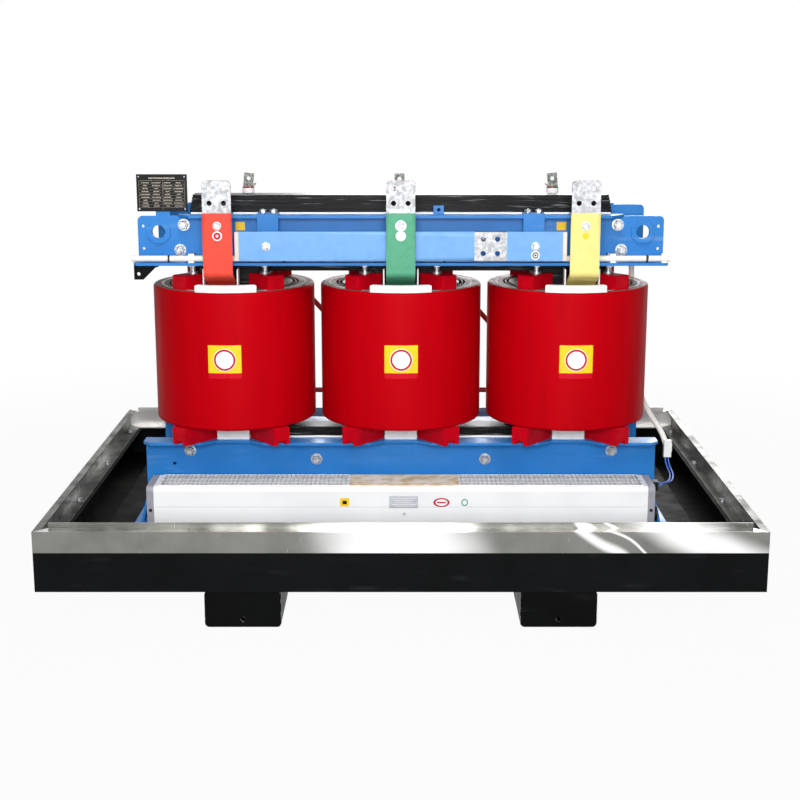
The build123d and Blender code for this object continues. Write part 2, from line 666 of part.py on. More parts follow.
def feet():
    """Foot plates across both ends, each with a gusset against either lower clamp."""
    pieces = []
    for side in (-1, 1):
        x0, x1 = sorted((side * (foot_outer - FOOT_WIDTH), side * foot_outer))
        foot = block(x0, x1, -FOOT_REACH, FOOT_REACH, beam_top, foot_top)
        g0, g1 = sorted((side * CLAMP_HALF_FRONT, side * (CLAMP_HALF_FRONT - CLAMP_PLATE)))
        front = polygon([(-web_face, foot_top), (-web_face, foot_top + GUSSET_HEIGHT),
                         (-web_face - GUSSET_DEPTH, foot_top)])
        foot += prism_x(front, g0, g1)
        r0, r1 = sorted((side * clamp_half_rear, side * (clamp_half_rear - CLAMP_PLATE)))
        foot += to_rear(prism_x(front, r0, r1))
        pieces.append(foot)
    return pieces


def through_bolt(x, z):
    """Clamp bolt with a washer and nut at both ends."""
    washer = web_face + CLAMP_WASHER_THICKNESS
    nut = washer + CLAMP_NUT_HEIGHT
    bolt = rod_y(x, z, CLAMP_BOLT_RADIUS, -nut - BOLT_TAIL, nut + BOLT_TAIL)
    for near, far in ((-washer, -web_face), (web_face, washer)):
        bolt += rod_y(x, z, CLAMP_WASHER_RADIUS, near, far)
    for near, far in ((-nut, -washer), (washer, nut)):
        bolt += hexagon_y(x, z, CLAMP_NUT_ACROSS, near, far)
    return bolt


def insulation_boards():
    """Pressed board between the core and each clamp."""
    boards = []
    half = BOARD_HALF_LENGTH
    near, far = -core_half_depth, -web_back
    upper = block(-half, half, far, near, upper_clamp_bottom, front_clamp_top + BOARD_RISE)
    lower = block(-half, half, far, near, foot_top + BOARD_FOOT_GAP, lower_clamp_top + BOARD_RISE)
    for board, places in ((upper, upper_bolt_places()), (lower, lower_bolt_places())):
        drilled = board - bolt_holes([(x, z) for x, z in places if abs(x) < half])
        boards += [drilled, to_rear(drilled)]
    return boards


# ---------------------------------------------------------------- windings
def end_terminals(x):
    """X and Z of a coil's upper and lower end terminals."""
    rise = TERMINAL_PANEL_MARGIN + TURRET_MARGIN
    return (x + TURRET_OFFSET, coil_top - rise), (x - TURRET_OFFSET, coil_bottom + rise)


def tap_places(x):
    """X and Z of a coil's tap turrets, two columns."""
    middle = (coil_bottom + coil_top) / 2
    rows = [middle + (i - (TAP_COUNT - 1) / 2) * TAP_PITCH for i in range(TAP_COUNT)]
    return [(x + s * TAP_OFFSET, z + s * TAP_PITCH / 8) for s in (-1, 1) for z in rows]


def hv_coil(x):
    """Cast resin high voltage coil with its terminal panel and turrets at the rear."""
    barrel = fillet(Cylinder(HV_OUTER_RADIUS, COIL_HEIGHT).edges().filter_by(GeomType.CIRCLE), HV_EDGE)
    coil = Pos(x, 0, (coil_bottom + coil_top) / 2) * barrel
    z0 = coil_bottom + TERMINAL_PANEL_MARGIN
    z1 = coil_top - TERMINAL_PANEL_MARGIN
    half = TERMINAL_PANEL_WIDTH / 2
    panel = block(x - half, x + half, HV_INNER_RADIUS, panel_face, z0, z1)
    panel = fillet(panel.faces().sort_by(Axis.Y)[-1].edges(), HV_EDGE)
    coil += panel
    for tx, tz in [*end_terminals(x), *tap_places(x)]:
        coil += rod_y(tx, tz, TURRET_RADIUS, HV_INNER_RADIUS, turret_face)
    return coil - Pos(x, 0, 0) * rod_z(0, 0, HV_INNER_RADIUS, coil_bottom - 1, coil_top + 1)


def lv_coil(x):
    """Low voltage coil: two layers of foil kept apart by duct sticks."""
    r0, r1, r2, r3 = LV_RADII
    layers = (Circle(r1) - Circle(r0)) + (Circle(r3) - Circle(r2))
    stick = Rectangle(r2 - r1 + 2 * GAP, LV_STICK_WIDTH)
    sticks = [place * stick for place in PolarLocations((r1 + r2) / 2, LV_DUCT_STICKS)]
    return Pos(x, 0, coil_bottom) * extrude(layers + sticks, COIL_HEIGHT)


def barrier(x):
    """Insulating cylinder between the two windings."""
    return Pos(x, 0, 0) * ring(BARRIER_RADIUS, BARRIER_RADIUS - BARRIER_THICKNESS, coil_bottom, coil_top)


# ---------------------------------------------------------------- coil supports
def radial_bar(angle, radius, z0, z1):
    """Bar under or over a coil, its upper edges bevelled, cut back in front of the clamp's web."""
    bar = block(-BLOCK_WIDTH / 2, BLOCK_WIDTH / 2, -radius, 0, z0, z1)
    bar = chamfer(bar.faces().sort_by(Axis.Z)[-1].edges(), BLOCK_EDGE)
    wide = 2 * radius
    return Rot(0, 0, angle) * bar & block(-wide, wide, -wide, -web_face - BLOCK_WEB_GAP, z0 - 1, z1 + 1)


def lower_block(side):
    """Lower support block, grooved along its underside."""
    bar = radial_bar(side * LOWER_BLOCK_ANGLE, LOWER_BLOCK_RADIUS, lower_clamp_top, coil_bottom)
    half = BLOCK_GROOVE_WIDTH / 2
    groove = block(-half, half, -LOWER_BLOCK_RADIUS - 1, 0, lower_clamp_top - 1,
                   lower_clamp_top + BLOCK_GROOVE_DEPTH)
    return bar - Rot(0, 0, side * LOWER_BLOCK_ANGLE) * groove


def upper_block(side):
    """Upper support block that the pressing bolt bears on."""
    return radial_bar(side * UPPER_BLOCK_ANGLE, UPPER_BLOCK_RADIUS, coil_top, block_top)


def around_coils(make):
    """Copies of a front piece at both sides of every coil, front and rear."""
    pieces = []
    for x in coil_centres.values():
        for side in (-1, 1):
            piece = Pos(x, 0, 0) * make(side)
            pieces += [piece, to_rear(piece)]
    return pieces


def pressing_bolt(x, y):
    """Jack bolt between an upper block and the upper clamp's flange."""
    top = upper_clamp_bottom + CLAMP_PLATE
    bolt = rod_z(x, y, PRESSING_PAD_RADIUS, block_top, block_top + PRESSING_PAD_HEIGHT)
    bolt += rod_z(x, y, PRESSING_BOLT_RADIUS, block_top, top + BOLT_TAIL + CLAMP_NUT_HEIGHT)
    bolt += hexagon_z(x, y, CLAMP_NUT_ACROSS, upper_clamp_bottom - CLAMP_NUT_HEIGHT, upper_clamp_bottom)
    bolt += hexagon_z(x, y, CLAMP_NUT_ACROSS, top, top + CLAMP_NUT_HEIGHT)
    return bolt


def coil_wedges():
    """White blocks on the recessed flange under each coil's middle, front and rear."""
    front = lower_flange_edge - RECESS_DEPTH - WEDGE_SETBACK
    half = WEDGE_WIDTH / 2
    pieces = []
    for x in coil_centres.values():
        wedge = block(x - half, x + half, -front, WEDGE_DEPTH - front, lower_clamp_top, coil_bottom)
        pieces += [wedge, to_rear(wedge)]
    return pieces


def edge_guard(x):
    """Curved guard on the coil's front top edge, under the low voltage lead."""
    half_angle = degrees(asin(GUARD_HALF_CHORD / GUARD_OUTER_RADIUS))
    reach = 2 * GUARD_OUTER_RADIUS
    side = reach * tan(radians(half_angle))
    sector = polygon([(0, 0), (side, -reach), (-side, -reach)])
    band = (Circle(GUARD_OUTER_RADIUS) - Circle(GUARD_INNER_RADIUS)) & sector
    guard = extrude(band, GUARD_HEIGHT)
    guard = fillet(guard.faces().sort_by(Axis.Z)[-1].edges(), GUARD_EDGE)
    return Pos(x, 0, coil_top) * guard


def lead_boards():
    """Upright boards either side of each low voltage lead, on the coil's top."""
    boards = []
    back = GUARD_INNER_RADIUS * cos(asin(GUARD_HALF_CHORD / GUARD_INNER_RADIUS)) - GAP
    for bar_x in BAR_CENTRES.values():
        for side in (-1, 1):
            x = bar_x + side * (BAR_WIDTH / 2 + LEAD_BOARD_GAP)
            boards.append(block(x - LEAD_BOARD_THICKNESS / 2, x + LEAD_BOARD_THICKNESS / 2, -back,
                                LEAD_BOARD_DEPTH - back, coil_top, coil_top + LEAD_BOARD_HEIGHT))
    return boards


# ---------------------------------------------------------------- low voltage side
def lv_bar(x):
    """Phase bar: drilled tongue, long upright, and a cranked tail down to the winding."""
    middle = bar_back + BAR_THICKNESS / 2
    knee = upper_clamp_bottom - BAR_BEND_HEIGHT
    heel = knee - BAR_DROP
    points = [(-middle, BAR_TOP), (-middle, knee), (-lv_lead_depth, heel), (-lv_lead_depth, coil_top)]
    profile = trace(FilletPolyline(*points, radius=BAR_BEND_RADIUS), line_width=BAR_THICKNESS)
    half = BAR_WIDTH / 2
    bar = prism_x(profile, x - half, x + half)
    outline = Pos(x, (BAR_TOP + coil_top) / 2) * Rectangle(BAR_WIDTH, BAR_TOP - coil_top)
    outline = fillet(corners_at(outline, [(x - half, BAR_TOP), (x + half, BAR_TOP)]), BAR_CORNER)
    bar &= plate_xz(outline, 0, 2 * bar_back)
    y0, y1 = -bar_back - 2 * BAR_THICKNESS, -bar_back + 1
    for dx, dz in hole_square():
        bar -= rod_y(x + dx, BAR_TOP - BAR_HOLE_TOP + dz, BAR_HOLE_RADIUS, y0, y1)
    return bar - rod_y(x, bar_bolt_z(), SMALL_BOLT_RADIUS + BOLT_GAP / 2, y0, y1)


def hole_square():
    """Offsets of a four hole pattern."""
    half = BAR_HOLE_PITCH / 2
    return [(dx, dz) for dx in (-half, half) for dz in (-half, half)]


def bar_bolt_z():
    """Height of the bolt that holds a phase bar."""
    return front_clamp_top - BAR_BOLT_DROP


def neutral_z():
    """Height of the neutral bar's middle."""
    return upper_clamp_bottom + NEUTRAL_BOTTOM + BAR_WIDTH / 2


def neutral_bar():
    """Neutral bar with four terminal holes and two support holes."""
    outline = Pos(0, neutral_z()) * Rectangle(2 * NEUTRAL_HALF_LENGTH, BAR_WIDTH)
    outline -= [Pos(NEUTRAL_PAD + dx, neutral_z() + dz) * Circle(BAR_HOLE_RADIUS) for dx, dz in hole_square()]
    support_hole = Circle(SMALL_BOLT_RADIUS + BOLT_GAP / 2)
    outline -= [Pos(x, neutral_z()) * support_hole for x in (-NEUTRAL_STRAP_X, NEUTRAL_STRAP_X)]
    return plate_xz(outline, neutral_back, BAR_THICKNESS)


def strap_stations():
    """X of each strap, with the height and stand-off of what it carries."""
    phases = [(x, bar_bolt_z(), BAR_STANDOFF) for x in BAR_CENTRES.values()]
    return phases + [(s * NEUTRAL_STRAP_X, neutral_z(), NEUTRAL_STANDOFF) for s in (-1, 1)]


def strap_bolt_places():
    """X and Y of the bolts on top of the straps."""
    y = -(web_face + top_flange_edge) / 2
    return [(x + s * STRAP_BOLT_SPACING / 2, y) for x, _, _ in strap_stations() for s in (-1, 1)]


def bar_straps():
    """Folded straps over the top flange that carry the bars."""
    straps = []
    half = STRAP_WIDTH / 2
    top = front_clamp_top + STRAP_THICKNESS
    for x, _, _ in strap_stations():
        strap = block(x - half, x + half, -strap_face, -web_face, front_clamp_top, top)
        strap += block(x - half, x + half, -strap_face, -top_flange_edge, top - STRAP_HEIGHT, top)
        for bx, by in strap_bolt_places():
            if abs(bx - x) < half:
                strap -= rod_z(bx, by, SMALL_BOLT_RADIUS + BOLT_GAP / 2, front_clamp_top - 1, top + 1)
        straps.append(strap)
    return straps


def bar_insulators():
    """Ribbed stand-offs behind each bar, and the combs at the neutral bar's ends."""
    pieces = []
    for x, z, length in strap_stations():
        post = rod_y(x, z, INSULATOR_RADIUS, -strap_face - length, -strap_face)
        for i in range(INSULATOR_RIBS):
            y = -strap_face - length * (i + 1) / (INSULATOR_RIBS + 1)
            post += rod_y(x, z, INSULATOR_RADIUS + INSULATOR_RIB, y - INSULATOR_RIB, y + INSULATOR_RIB)
        pieces.append(post)
    for side in (-1, 1):
        x0, x1 = sorted((side * NEUTRAL_HALF_LENGTH, side * (NEUTRAL_HALF_LENGTH + COMB_THICKNESS)))
        front = neutral_back + BAR_THICKNESS
        pieces.append(block(x0, x1, -front - COMB_PROUD, COMB_DEPTH - front, neutral_z() - BAR_WIDTH / 2,
                            neutral_z() + BAR_WIDTH / 2))
    return pieces


def bar_bolts():
    """Bolts in front of the bars, and on top of the straps."""
    bolts = []
    for x, z, length in strap_stations():
        face = strap_face + length + BAR_THICKNESS
        washer = face + SMALL_WASHER_THICKNESS
        bolt = rod_y(x, z, SMALL_BOLT_RADIUS, -washer, -face + BAR_THICKNESS)
        bolt += rod_y(x, z, SMALL_WASHER_RADIUS, -washer, -face)
        bolts.append(bolt + hexagon_y(x, z, SMALL_NUT_ACROSS, -washer - SMALL_NUT_HEIGHT, -washer))
    seat = front_clamp_top + STRAP_THICKNESS
    under = front_clamp_top - CLAMP_PLATE
    for x, y in strap_bolt_places():
        bolt = rod_z(x, y, SMALL_BOLT_RADIUS, under - SMALL_NUT_HEIGHT, seat + SMALL_WASHER_THICKNESS)
        bolt += rod_z(x, y, SMALL_WASHER_RADIUS, seat, seat + SMALL_WASHER_THICKNESS)
        bolt += hexagon_z(x, y, SMALL_NUT_ACROSS, seat + SMALL_WASHER_THICKNESS,
                          seat + SMALL_WASHER_THICKNESS + SMALL_NUT_HEIGHT)
        bolts.append(bolt + hexagon_z(x, y, SMALL_NUT_ACROSS, under - SMALL_NUT_HEIGHT, under))
    return bolts


def nameplate():
    """Blank data plate with four rivets."""
    middle = clamp_end_top + NAMEPLATE_RISE + NAMEPLATE_HEIGHT / 2
    outline = Pos(NAMEPLATE_CENTRE, middle) * Rectangle(NAMEPLATE_WIDTH, NAMEPLATE_HEIGHT)
    plate = plate_xz(outline, web_face, NAMEPLATE_THICKNESS)
    dx = NAMEPLATE_WIDTH / 2 - NAMEPLATE_RIVET_INSET
    dz = NAMEPLATE_HEIGHT / 2 - NAMEPLATE_RIVET_INSET
    front = web_face + NAMEPLATE_THICKNESS
    for x in (NAMEPLATE_CENTRE - dx, NAMEPLATE_CENTRE + dx):
        for z in (middle - dz, middle + dz):
            plate += rod_y(x, z, NAMEPLATE_RIVET_RADIUS, -front - NAMEPLATE_THICKNESS / 2, -front)
    return plate


# ---------------------------------------------------------------- high voltage side
def hv_post_y():
    """Distance of the high voltage posts behind the core's middle."""
    return web_face + HV_POST_OFFSET


def hv_post(x):
    """Ribbed post insulator on the rear clamp's coil flange."""
    z0 = upper_clamp_bottom + CLAMP_PLATE
    post = rod_z(x, hv_post_y(), HV_POST_RADIUS, z0, z0 + HV_POST_HEIGHT)
    pitch = HV_POST_HEIGHT / (HV_SHED_COUNT + 1)
    for i in range(HV_SHED_COUNT):
        z = z0 + (i + 1) * pitch
        post += Pos(x, hv_post_y(), z) * Cone(HV_SHED_RADIUS, HV_POST_RADIUS, pitch / 3)
    return post


def hv_terminal(name, x):
    """Copper terminal: upright tongue, strap over the post, and a sleeved rod from the coil."""
    z0 = upper_clamp_bottom + CLAMP_PLATE + HV_POST_HEIGHT
    rod_depth = HV_OUTER_RADIUS + TERMINAL_PANEL_DEPTH / 2
    half = HV_STRAP_WIDTH / 2
    front = hv_post_y() - half
    strap = block(x - half, x + half, front, rod_depth + half, z0, z0 + HV_STRAP_THICKNESS)
    lean = {"left": HV_PLATE_LEAN, "middle": 0.0, "right": -HV_PLATE_LEAN}[name]
    back = front + HV_STRAP_THICKNESS
    tongue = block(-half, half, front, back, 0, HV_PLATE_HEIGHT)
    tongue -= rod_y(0, HV_PLATE_HEIGHT - HV_HOLE_DROP, HV_HOLE_RADIUS, front - 1, back + 1)
    foot = half * sin(radians(abs(lean)))
    strap += Pos(x, 0, z0 + foot) * Rot(0, lean, 0) * tongue
    strap += block(x - half, x + half, front, back, z0, z0 + HV_STRAP_THICKNESS + foot)
    rod = rod_z(x, rod_depth, HV_ROD_RADIUS, coil_top - TERMINAL_PANEL_MARGIN, z0)
    return strap + rod


def bolted_lug(x, z):
    """Round cable lug under a hex screw on a turret's face."""
    lug = rod_y(x, z, HV_LUG_RADIUS, turret_face, turret_face + HV_LUG_THICKNESS)
    return lug + hexagon_y(x, z, SMALL_NUT_ACROSS, turret_face + HV_LUG_THICKNESS,
                           turret_face + HV_LUG_THICKNESS + SMALL_NUT_HEIGHT)


def delta_links():
    """Three sleeved rods that join the coils' ends in a ring."""
    depth = turret_face + HV_LUG_THICKNESS / 2 + HV_ROD_RADIUS
    names = list(coil_centres)
    tops = {name: end_terminals(x)[0] for name, x in coil_centres.items()}
    lows = {name: end_terminals(x)[1] for name, x in coil_centres.items()}
    links = []
    for here, there in zip(names, names[1:]):
        (x0, z0), (x1, z1) = tops[here], lows[there]
        bend = ((x0 + x1) / 2 - DELTA_BEND, depth, z0 - DELTA_BEND)
        rod = tube([(x0, depth, z0), bend, (x1, depth, z1)], DELTA_BEND, HV_ROD_RADIUS)
        links.append(rod + bolted_lug(x0, z0) + bolted_lug(x1, z1))
    (x0, z0), (x1, z1) = lows[names[0]], tops[names[-1]]
    run_z = coil_bottom + HV_ROD_RADIUS + GAP
    rise_x = coil_centres[names[-1]] + TERMINAL_PANEL_WIDTH / 2 + TURRET_RADIUS
    corners = [(x0, z0), (x0, run_z), (rise_x, run_z), (rise_x, z1), (x1, z1)]
    rod = tube([(x, depth, z) for x, z in corners], 2 * HV_ROD_RADIUS, HV_ROD_RADIUS)
    links.append(rod + bolted_lug(x0, z0) + bolted_lug(x1, z1))
    return links


def tap_links():
    """Brass link and screws over the middle pair of tap turrets of each coil."""
    links = []
    for x in coil_centres.values():
        places = tap_places(x)
        low, high = places[TAP_COUNT // 2], places[TAP_COUNT + TAP_COUNT // 2]
        lean = degrees(asin((high[1] - low[1]) / hypot(high[0] - low[0], high[1] - low[1])))
        length = hypot(high[0] - low[0], high[1] - low[1])
        flat = SlotCenterToCenter(length, TAP_LINK_WIDTH, rotation=lean)
        link = Plane.XZ.offset(-turret_face - TAP_LINK_THICKNESS) * (
            Pos(x, (low[1] + high[1]) / 2) * extrude(flat, TAP_LINK_THICKNESS))
        for tx, tz in (low, high):
            link += hexagon_y(tx, tz, SMALL_NUT_ACROSS, turret_face + TAP_LINK_THICKNESS,
                              turret_face + TAP_LINK_THICKNESS + SMALL_NUT_HEIGHT)
        links.append(link)
    return links


def end_brackets():
    """Black gusset brackets under two opposite ends of the upper clamps."""
    def bracket(outer, turn):
        """One bracket, its outer end at `outer` and pointing inwards."""
        z1 = upper_clamp_bottom
        web = polygon([(outer, z1), (outer + turn * BRACKET_LENGTH, z1),
                       (outer + turn * BRACKET_TOE, z1 - BRACKET_DROP), (outer, z1 - BRACKET_DROP)])
        web -= Pos(outer + turn * BRACKET_TOE / 2, z1 - 0.6 * BRACKET_DROP) * Circle(SMALL_BOLT_RADIUS)
        plate = plate_xz(web, upper_flange_edge - CLAMP_PLATE - BRACKET_THICKNESS, BRACKET_THICKNESS)
        x0, x1 = sorted((outer, outer + turn * BRACKET_LENGTH))
        edge = upper_flange_edge - CLAMP_PLATE
        return plate + block(x0, x1, -edge, BRACKET_LEAF - edge, z1 - BRACKET_THICKNESS, z1)
    return [bracket(-CLAMP_HALF_FRONT, 1), to_rear(bracket(clamp_half_rear, -1))]


# ---------------------------------------------------------------- fan
def fan_section(inset, corner):
    """Fan's cross-section in Y and Z, with rounded upper corners."""
    width = FAN_DEPTH - 2 * inset
    height = FAN_HEIGHT - 2 * inset
    face = Rectangle(width, height)
    face = fillet(corners_at(face, [(-width / 2, height / 2), (width / 2, height / 2)]), corner)
    return Pos(fan_axis_y, fan_axis_z) * face


def fan_windows():
    """Start and end in X of the two air windows, either side of the motor cover."""
    half_cover = FAN_COVER_LENGTH / 2
    outer = fan_body_half - FAN_WINDOW_MARGIN
    return (-outer, FAN_MOTOR_X - half_cover), (FAN_MOTOR_X + half_cover, outer)


def fan_housing():
    """Folded duct with air windows above and below the two drums."""
    shell = prism_x(fan_section(0, FAN_CORNER) - fan_section(FAN_WALL, FAN_CORNER - FAN_WALL),
                    -fan_body_half, fan_body_half)
    half = FAN_DEPTH / 2 - FAN_WINDOW_MARGIN - FAN_WALL
    for x0, x1 in fan_windows():
        shell -= block(x0, x1, fan_axis_y - half, fan_axis_y + half, foot_top - 1, foot_top + FAN_HEIGHT + 1)
    return shell


def fan_caps():
    """End caps with the shaft's bearing bores."""
    caps = []
    for x0, x1 in ((-fan_half, -fan_body_half), (fan_body_half, fan_half)):
        caps.append(prism_x(fan_section(0, FAN_CORNER), x0, x1)
                    - rod_x(fan_axis_y, fan_axis_z, FAN_SHAFT_RADIUS + RUNNING_GAP, x0 - 1, x1 + 1))
    return caps


def fan_grilles():
    """Mesh over the air windows."""
    depth = FAN_DEPTH - 2 * FAN_CORNER
    meshes = []
    for x0, x1 in fan_windows():
        length = x1 - x0
        columns = int((length - GRILLE_BAR) / GRILLE_PITCH)
        row_pitch = (depth - GRILLE_BAR) / GRILLE_ROWS
        holes = GridLocations(GRILLE_PITCH, row_pitch, columns, GRILLE_ROWS)
        mesh = Rectangle(length, depth) - [
            place * Rectangle(GRILLE_PITCH - GRILLE_BAR, row_pitch - GRILLE_BAR) for place in holes]
        middle = Pos((x0 + x1) / 2, fan_axis_y, foot_top + FAN_HEIGHT)
        meshes.append(middle * extrude(mesh, FAN_GRILLE_THICKNESS))
    return meshes


def fan_cover():
    """Plated cover over the motor, between the two meshes."""
    long = FAN_COVER_LENGTH / 2 - GAP
    deep = FAN_DEPTH / 2 - FAN_CORNER
    z0 = foot_top + FAN_HEIGHT
    return block(FAN_MOTOR_X - long, FAN_MOTOR_X + long, fan_axis_y - deep, fan_axis_y + deep,
                 z0, z0 + FAN_GRILLE_THICKNESS)


def fan_motor():
    """Double-ended motor on its seat inside the duct."""
    half = FAN_MOTOR_LENGTH / 2
    motor = rod_x(fan_axis_y, fan_axis_z, FAN_MOTOR_RADIUS, FAN_MOTOR_X - half, FAN_MOTOR_X + half)
    motor += block(FAN_MOTOR_X - half, FAN_MOTOR_X + half, fan_axis_y - FAN_MOTOR_SEAT / 2,
                   fan_axis_y + FAN_MOTOR_SEAT / 2, foot_top + FAN_WALL, fan_axis_z)
    return motor - rod_x(fan_axis_y, fan_axis_z, FAN_SHAFT_RADIUS + RUNNING_GAP, -fan_half, fan_half)


def drum_spans():
    """Start and end in X of the two drums."""
    inner = FAN_MOTOR_LENGTH / 2 + FAN_DRUM_GAP
    outer = fan_body_half - FAN_DRUM_GAP
    return (-outer, FAN_MOTOR_X - inner), (FAN_MOTOR_X + inner, outer)


def fan_rotor():
    """Shaft with two drums of curved-row blades, turning as one."""
    rotor = Rot(0, 90, 0) * Cylinder(FAN_SHAFT_RADIUS, 2 * fan_half)
    blade = Rectangle(FAN_BLADE_DEPTH, FAN_BLADE_THICKNESS, rotation=FAN_BLADE_PITCH_ANGLE)
    ring_of_places = PolarLocations(FAN_DRUM_RADIUS - FAN_BLADE_DEPTH / 2, FAN_BLADES)
    row = Sketch() + [place * blade for place in ring_of_places]
    for x0, x1 in drum_spans():
        rotor += Pos(x0, 0, 0) * (Plane.YZ * extrude(row, x1 - x0))
        for x in (x0, (x0 + x1 - FAN_DISC) / 2, x1 - FAN_DISC):
            rotor += Pos(x + FAN_DISC / 2, 0, 0) * Rot(0, 90, 0) * Cylinder(FAN_DRUM_RADIUS, FAN_DISC)
    return Pos(0, fan_axis_y, fan_axis_z) * rotor


def fan_terminal_box():
    """Capacitor and terminal block on the fan's right end."""
    long, deep, tall = TERMINAL_BLOCK
    z0 = foot_top + TERMINAL_BLOCK_HEIGHT
    can_z = foot_top + CAPACITOR_RADIUS
    can = rod_x(fan_axis_y, can_z, CAPACITOR_RADIUS, fan_half, fan_half + CAPACITOR_THICKNESS)
    terminal = block(fan_half, fan_half + long, fan_axis_y - deep / 2, fan_axis_y + deep / 2, z0, z0 + tall)
    return [can, terminal]


# ---------------------------------------------------------------- cables
def sleeve_middle():
    """Y and Z of the front sleeve's middle."""
    seat = upper_clamp_bottom + CLAMP_PLATE
    return SLEEVE_SETBACK - upper_flange_edge, seat + CLIP_WALL + GAP + SLEEVE_RADIUS


def connector_top():
    """Top middle of the plug under the rear sleeve."""
    x, y, z = SLEEVE_ROUTE[-1]
    return x, y, z + CONNECTOR_SIZE[2] / 2


def connector():
    """Nylon plug at the end of the rear sleeve, with its latch."""
    x, y, top = connector_top()
    long, deep, tall = CONNECTOR_SIZE
    plug = block(x - long / 2, x + long / 2, y - deep / 2, y + deep / 2, top - tall, top)
    return plug + block(x + long / 2, x + long / 2 + CLIP_WALL, y - deep / 4, y + deep / 4,
                        top - 0.7 * tall, top - 0.2 * tall)


def cable_sleeves():
    """Sleeve along the front flange, and the one that comes down behind the right coil."""
    y, z = sleeve_middle()
    front = rod_x(y, z, SLEEVE_RADIUS, -SLEEVE_HALF_LENGTH, SLEEVE_HALF_LENGTH)
    reach = BASE_DEPTH / 2
    above = block(0, BASE_LENGTH, -reach, reach, upper_clamp_bottom, rear_clamp_top)
    return [front, tube(SLEEVE_ROUTE, bend_radii(SLEEVE_ROUTE), SLEEVE_RADIUS) - above - connector()]


def cable_fittings():
    """Saddle clips on the front sleeve, and the plug at the end of the rear one."""
    y, z = sleeve_middle()
    inner = SLEEVE_RADIUS + GAP
    seat = upper_clamp_bottom + CLAMP_PLATE
    pieces = []
    for x in CLIP_STATIONS:
        x0, x1 = x - CLIP_WIDTH / 2, x + CLIP_WIDTH / 2
        clip = rod_x(y, z, inner + CLIP_WALL, x0, x1)
        clip += block(x0, x1, y - inner, y + inner, seat, z)
        clip += block(x0, x1, y - CLIP_WALL * 2, y + CLIP_WALL * 2, z, z + inner + 2 * CLIP_WALL)
        pieces.append(clip - rod_x(y, z, inner, x0 - 1, x1 + 1))
    return [*pieces, connector()]


def fan_wire(side):
    """One of the two wires from the plug to the fan's terminal block."""
    x, y, top = connector_top()
    x += side * WIRE_SPACING / 2
    bottom = top - CONNECTOR_SIZE[2]
    points = [(x + dx, y + dy, bottom + dz) for dx, dy, dz in WIRE_ROUTE]
    long, _, tall = TERMINAL_BLOCK
    end_z = foot_top + TERMINAL_BLOCK_HEIGHT + tall / 2 + side * WIRE_SPACING / 2
    face = fan_half + long
    points += [(face + WIRE_ENTRY, fan_axis_y + WIRE_BOW, end_z), (face - WIRE_ENTRY, fan_axis_y, end_z)]
    return tube(points, bend_radii(points), WIRE_RADIUS) - connector() - fan_terminal_box()


# ---------------------------------------------------------------- build and write
def build_nodes():
    """Every piece of the transformer by its node's name."""
    nodes = {"skid_left": skid(-SKID_SPACING / 2), "skid_right": skid(SKID_SPACING / 2)}
    nodes |= base_channels()
    nodes |= {"floor_plate": floor_plate(), "support_beams": support_beams()}
    nodes |= rails()
    nodes["rail_bolts"] = rail_bolts()
    for name, x in coil_centres.items():
        nodes["core_leg_" + name] = core_leg(x)
        nodes["hv_coil_" + name] = hv_coil(x)
        nodes["lv_coil_" + name] = lv_coil(x)
    nodes["core_yoke_upper"] = yoke(upper_yoke_centre, upper_clamp_bottom, UPPER_YOKE_BOLT)
    nodes["core_yoke_lower"] = yoke(lower_yoke_centre, foot_top, LOWER_YOKE_BOLT)
    nodes["clamp_upper_front"] = upper_front_clamp()
    nodes["clamp_upper_rear"] = to_rear(upper_clamp(clamp_half_rear, rear_clamp_top))
    nodes["clamp_lower_front"] = lower_clamp(CLAMP_HALF_FRONT) - earth_hole()
    nodes["clamp_lower_rear"] = to_rear(lower_clamp(clamp_half_rear))
    nodes["feet"] = feet()
    nodes["clamp_bolts"] = [through_bolt(x, z) for x, z in upper_bolt_places() + lower_bolt_places()]
    nodes["insulation_boards"] = insulation_boards() + lead_boards()
    nodes["barrier_cylinders"] = [barrier(x) for x in coil_centres.values()]
    nodes["lower_support_blocks"] = around_coils(lower_block)
    nodes["upper_support_blocks"] = around_coils(upper_block)
    front_bolts = [pressing_bolt(x, y) for x, y in pressing_places()]
    nodes["pressing_bolts"] = front_bolts + [to_rear(bolt) for bolt in front_bolts]
    nodes["coil_wedges"] = coil_wedges()
    nodes["edge_guards"] = [edge_guard(x) for x in coil_centres.values()]
    for colour, x in BAR_CENTRES.items():
        nodes["phase_bar_" + colour] = lv_bar(x)
    nodes["neutral_bar"] = neutral_bar()
    nodes["bar_straps"] = bar_straps()
    nodes["bar_insulators"] = bar_insulators()
    nodes["bar_bolts"] = bar_bolts()
    nodes["nameplate"] = nameplate()
    nodes["hv_posts"] = [hv_post(x) for x in HV_POST_X.values()]
    nodes["hv_terminals"] = [hv_terminal(name, x) for name, x in HV_POST_X.items()]
    nodes["delta_links"] = delta_links()
    nodes["tap_links"] = tap_links()
    nodes["end_brackets"] = end_brackets()
    nodes["fan_housing"] = fan_housing()
    nodes["fan_end_caps"] = fan_caps()
    nodes["fan_grilles"] = fan_grilles()
    nodes["fan_motor_cover"] = fan_cover()
    nodes["fan_motor"] = fan_motor()
    nodes["fan_rotor"] = fan_rotor()
    nodes["fan_terminals"] = fan_terminal_box()
    nodes["cable_sleeves"] = cable_sleeves()
    nodes["cable_fittings"] = cable_fittings()
    nodes["fan_wires"] = [fan_wire(-1), fan_wire(1)]
    return nodes


def write_parts():
    """One STEP file per node."""
    os.makedirs("parts", exist_ok=True)
    for name, shape in build_nodes().items():
        whole = Compound(children=[piece.solid() for piece in shape]) if isinstance(shape, list) else shape
        export_step(whole, f"parts/{name}.step")


write_parts()
